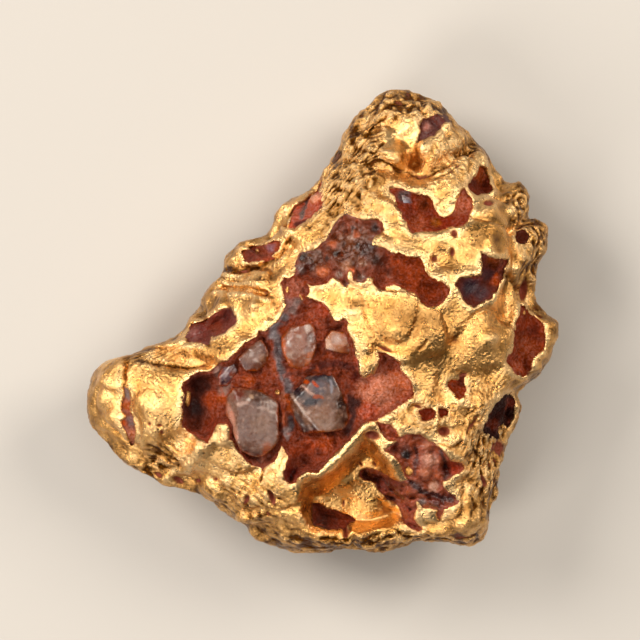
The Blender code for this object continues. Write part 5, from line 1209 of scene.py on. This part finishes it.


# native gold, worn in gravel: satin metal, with painted highlight in pale gold on its crests and painted
# shade in brown in its dents; sizes are in mm, and its finest grain, which is too fine to show, is drawn at
# 0.26 mm
goldFinish = {
    "warm": "#E8B46E", "full": "#D79D52", "crestHighlight": "#F7D6A0", "deep": "#583006", "glowing": "#A8601E",
    "film": "#7C3216", "drift": 2.4, "grain": 0.26, "polishDrift": 0.7, "dimples": 0.28, "roughGrain": 0.3,
    "bump": 0.32, "polished": 0.24, "dull": 0.34, "filmRough": 0.3, "filmCover": 0.85,
}


# native gold: bright metal, with painted shade in its dents, painted highlight on its crests, a painted
# orange glow between walls, and a dull red-brown film where ironstone touched it
def nativeGold():
    f = goldFinish
    made, tree, shader, place = startMaterial("native gold")
    stain, shadingLevel = attributeOf(tree, "stain"), attributeOf(tree, "hollow")
    glowing, crumpled = attributeOf(tree, "glow"), attributeOf(tree, "crumple")
    broad, grain = noiseOf(tree, place, f["drift"]), noiseOf(tree, place, f["grain"], 4.0, 0.65)
    fibres = addNode(tree, "ShaderNodeTexNoise", {
        "Vector": attributeOf(tree, "fibre", "Vector"), "Scale": 1.0, "Detail": 2.0, "Roughness": 0.6,
    }).outputs["Fac"]
    fibrous = ramped(tree, crumpled, 0.2, 0.8, 0.1, 0.7)
    leaning = worked(tree, "MULTIPLY", fibrous, worked(tree, "SUBTRACT", fibres, grain))
    grain = worked(tree, "ADD", grain, leaning)
    speckShare = ramped(tree, crumpled, 0.0, 0.8, 0.15, 0.9)
    specks = worked(tree, "MULTIPLY", ramped(tree, grain, 0.5, 0.7), speckShare)
    # painted shade: dark brown where the gold lies in dents, with dark specks of the grain mixed in
    deep = worked(tree, "ADD", ramped(tree, shadingLevel, -0.05, 0.75, 0, 1.0), specks, True)
    colour = mixed(tree, ramped(tree, broad, 0.4, 0.7), f["warm"], f["full"])
    # painted highlight: pale gold on the crests and in the zones of painted light
    colour = mixed(tree, ramped(tree, shadingLevel, 0.0, -0.7, 0, 0.6), colour, f["crestHighlight"])
    colour = mixed(tree, deep, colour, f["deep"])
    colour = mixed(tree, glowing, colour, f["glowing"])
    film = ramped(tree, worked(tree, "ADD", stain, worked(tree, "MULTIPLY", grain, 0.5)), 0.45, 1.0)
    colour = mixed(tree, film, colour, f["film"])
    tree.links.new(colour, shader.inputs["Base Color"])
    bare = worked(tree, "SUBTRACT", 1.0, worked(tree, "MULTIPLY", film, f["filmCover"]))
    tree.links.new(bare, shader.inputs["Metallic"])
    polish = ramped(tree, noiseOf(tree, place, f["polishDrift"]), 0.3, 0.7, f["polished"], f["dull"])
    polish = worked(tree, "ADD", polish, worked(tree, "MULTIPLY", film, f["filmRough"]), True)
    tree.links.new(polish, shader.inputs["Roughness"])
    dimples = addNode(tree, "ShaderNodeTexVoronoi", {"Vector": place, "Scale": 1 / (f["dimples"] * mm)},
                      feature="SMOOTH_F1").outputs["Distance"]
    rough = noiseOf(tree, place, f["roughGrain"], 3.0, 0.65)
    rough = worked(tree, "ADD", rough, worked(tree, "MULTIPLY", dimples, 0.4))
    rough = worked(tree, "SUBTRACT", rough, worked(tree, "MULTIPLY", fibrous, fibres))
    bumped(tree, shader, rough, f["bump"], ramped(tree, crumpled, 0.0, 0.8, 0.4, 1.0))
    return made


# ironstone is fine earthy iron oxide with glossy knobs, so it is dull but for its knobs, and mottled; vein
# quartz is a clear mineral made cloudy by bubbles, so light spreads inside it; grain and bump are in mm
stoneFinishes = {
    "ironstone": {"grain": 0.28, "bump": 0.42, "mottle": 0.38, "bright": 1.0, "rich": 1.1, "shine": 0.65,
                  "sockets": {}},
    "vein quartz": {"grain": 0.45, "bump": 0.08, "mottle": 0.16, "bright": 0.9, "rich": 1.3, "shine": 0.5,
                    "sockets": {"IOR": 1.544, "Transmission Weight": 0.4, "Subsurface Weight": 0.5,
                                "Subsurface Radius": (0.9 * mm, 0.8 * mm, 0.75 * mm),
                                "Subsurface Scale": 1.0}},
}


# stone with its tone and roughness from the mesh, mottled and bumped by noise of the grain's size
def stone(name):
    f = stoneFinishes[name]
    made, tree, shader, place = startMaterial(name)
    tone = attributeOf(tree, "tone", "Color")
    spots = noiseOf(tree, place, f["grain"] * 2.5, 4.0, 0.65)
    fineSpots = noiseOf(tree, place, f["grain"], 3.0, 0.6)
    coarseShade = ramped(tree, spots, 0.3, 0.7, f["bright"] - f["mottle"], f["bright"] + f["mottle"])
    fineShade = ramped(tree, fineSpots, 0.36, 0.64, 1 - 0.6 * f["mottle"], 1 + 0.6 * f["mottle"])
    shade = worked(tree, "MULTIPLY", coarseShade, fineShade)
    richness = ramped(tree, fineSpots, 0.3, 0.7, f["rich"] + 0.1, f["rich"] - 0.2)
    shaded = addNode(tree, "ShaderNodeHueSaturation", {
        "Value": shade, "Color": tone, "Saturation": richness})
    tree.links.new(shaded.outputs["Color"], shader.inputs["Base Color"])
    dullness = ramped(tree, fineSpots, 0.35, 0.65, 1.15, 0.5)
    polish = worked(tree, "MULTIPLY", attributeOf(tree, "polish"), dullness, True)
    tree.links.new(polish, shader.inputs["Roughness"])
    rough = noiseOf(tree, place, f["grain"], 5.0, 0.65)
    rough = worked(tree, "ADD", rough, worked(tree, "MULTIPLY", spots, 0.8))
    gloss = ramped(tree, attributeOf(tree, "polish"), 0.2, 0.6, f["shine"], 0.1)
    tree.links.new(gloss, shader.inputs["Specular IOR Level"])
    bumped(tree, shader, rough, f["bump"], ramped(tree, attributeOf(tree, "polish"), 0.15, 0.6, 0.28, 1.0))
    for socket, value in f["sockets"].items():
        shader.inputs[socket].default_value = value
    return made


for finish, pieces in ((nativeGold(), [goldPiece, *fleckPieces]), (stone("ironstone"), fillings.values()),
                       (stone("vein quartz"), quartzPieces)):
    for piece in pieces:
        piece.data.materials.append(finish)
print("materials", flush=True)

# the studio: lengths in metres, but for the view across and its aim in mm
studio = {
    "floorHalf": 2, "floorTone": "#B4B1AC", "floorRough": 0.85,
    "airTone": "#8C8A88", "airStrength": 0.08,
    "lens": 500, "sensor": 36, "across": 64, "aim": (-0.1, 0.05, 8.2), "farthest": 10, "lampAim": 0.01,
}
# square lights: place, size, watts, colour
lamps = {
    "key": ((-0.44, 0.25, 0.42), 0.30, 4.7, "#FFF6EC"), "fill": ((0.40, 0.22, 0.44), 0.28, 3.0, "#FFF4E6"),
    "front": ((-0.30, -0.30, 0.40), 0.22, 1.7, "#FFF6EC"),
    "overhead": ((0.0, 0.06, 0.85), 0.66, 2.8, "#FFFBF6"),
}

paleCard = bpy.data.materials.new("pale card")
paleCard.use_nodes = True
cardShader = paleCard.node_tree.nodes["Principled BSDF"]
cardShader.inputs["Base Color"].default_value = (*hexColour(studio["floorTone"]), 1)
cardShader.inputs["Roughness"].default_value = studio["floorRough"]
half = studio["floorHalf"]
floorMesh = bpy.data.meshes.new("floor")
corners = [(-half, -half, 0), (half, -half, 0), (half, half, 0), (-half, half, 0)]
floorMesh.from_pydata(corners, [], [(0, 1, 2, 3)])
floor = bpy.data.objects.new("floor", floorMesh)
bpy.context.scene.collection.objects.link(floor)
floorMesh.materials.append(paleCard)


# a square area light turned towards the nugget
def areaLight(name, place, size, watts, colour):
    lamp = bpy.data.lights.new(name, "AREA")
    lamp.shape = "SQUARE"
    lamp.size = size
    lamp.energy = watts
    lamp.color = hexColour(colour)
    made = bpy.data.objects.new(name, lamp)
    bpy.context.scene.collection.objects.link(made)
    made.location = place
    aim = made.location.copy()
    aim.z -= studio["lampAim"]
    made.rotation_mode = "QUATERNION"
    made.rotation_quaternion = aim.to_track_quat("Z", "Y")


for name, values in lamps.items():
    areaLight(name, *values)

world = bpy.data.worlds.new("studio")
world.use_nodes = True
air = world.node_tree.nodes["Background"]
air.inputs["Color"].default_value = (*hexColour(studio["airTone"]), 1)
air.inputs["Strength"].default_value = studio["airStrength"]
bpy.context.scene.world = world

cameraData = bpy.data.cameras.new("camera")
cameraData.lens = studio["lens"]
cameraData.sensor_width = studio["sensor"]
cameraData.clip_end = studio["farthest"]
camera = bpy.data.objects.new("camera", cameraData)
aimX, aimY, aimZ = studio["aim"]
# the camera is as far up as makes the view "across" wide at its aim
distance = studio["across"] * mm * studio["lens"] / studio["sensor"]
camera.location = (aimX * mm, aimY * mm, aimZ * mm + distance)
bpy.context.scene.collection.objects.link(camera)
bpy.context.scene.camera = camera
bpy.context.scene.view_settings.view_transform = "Standard"
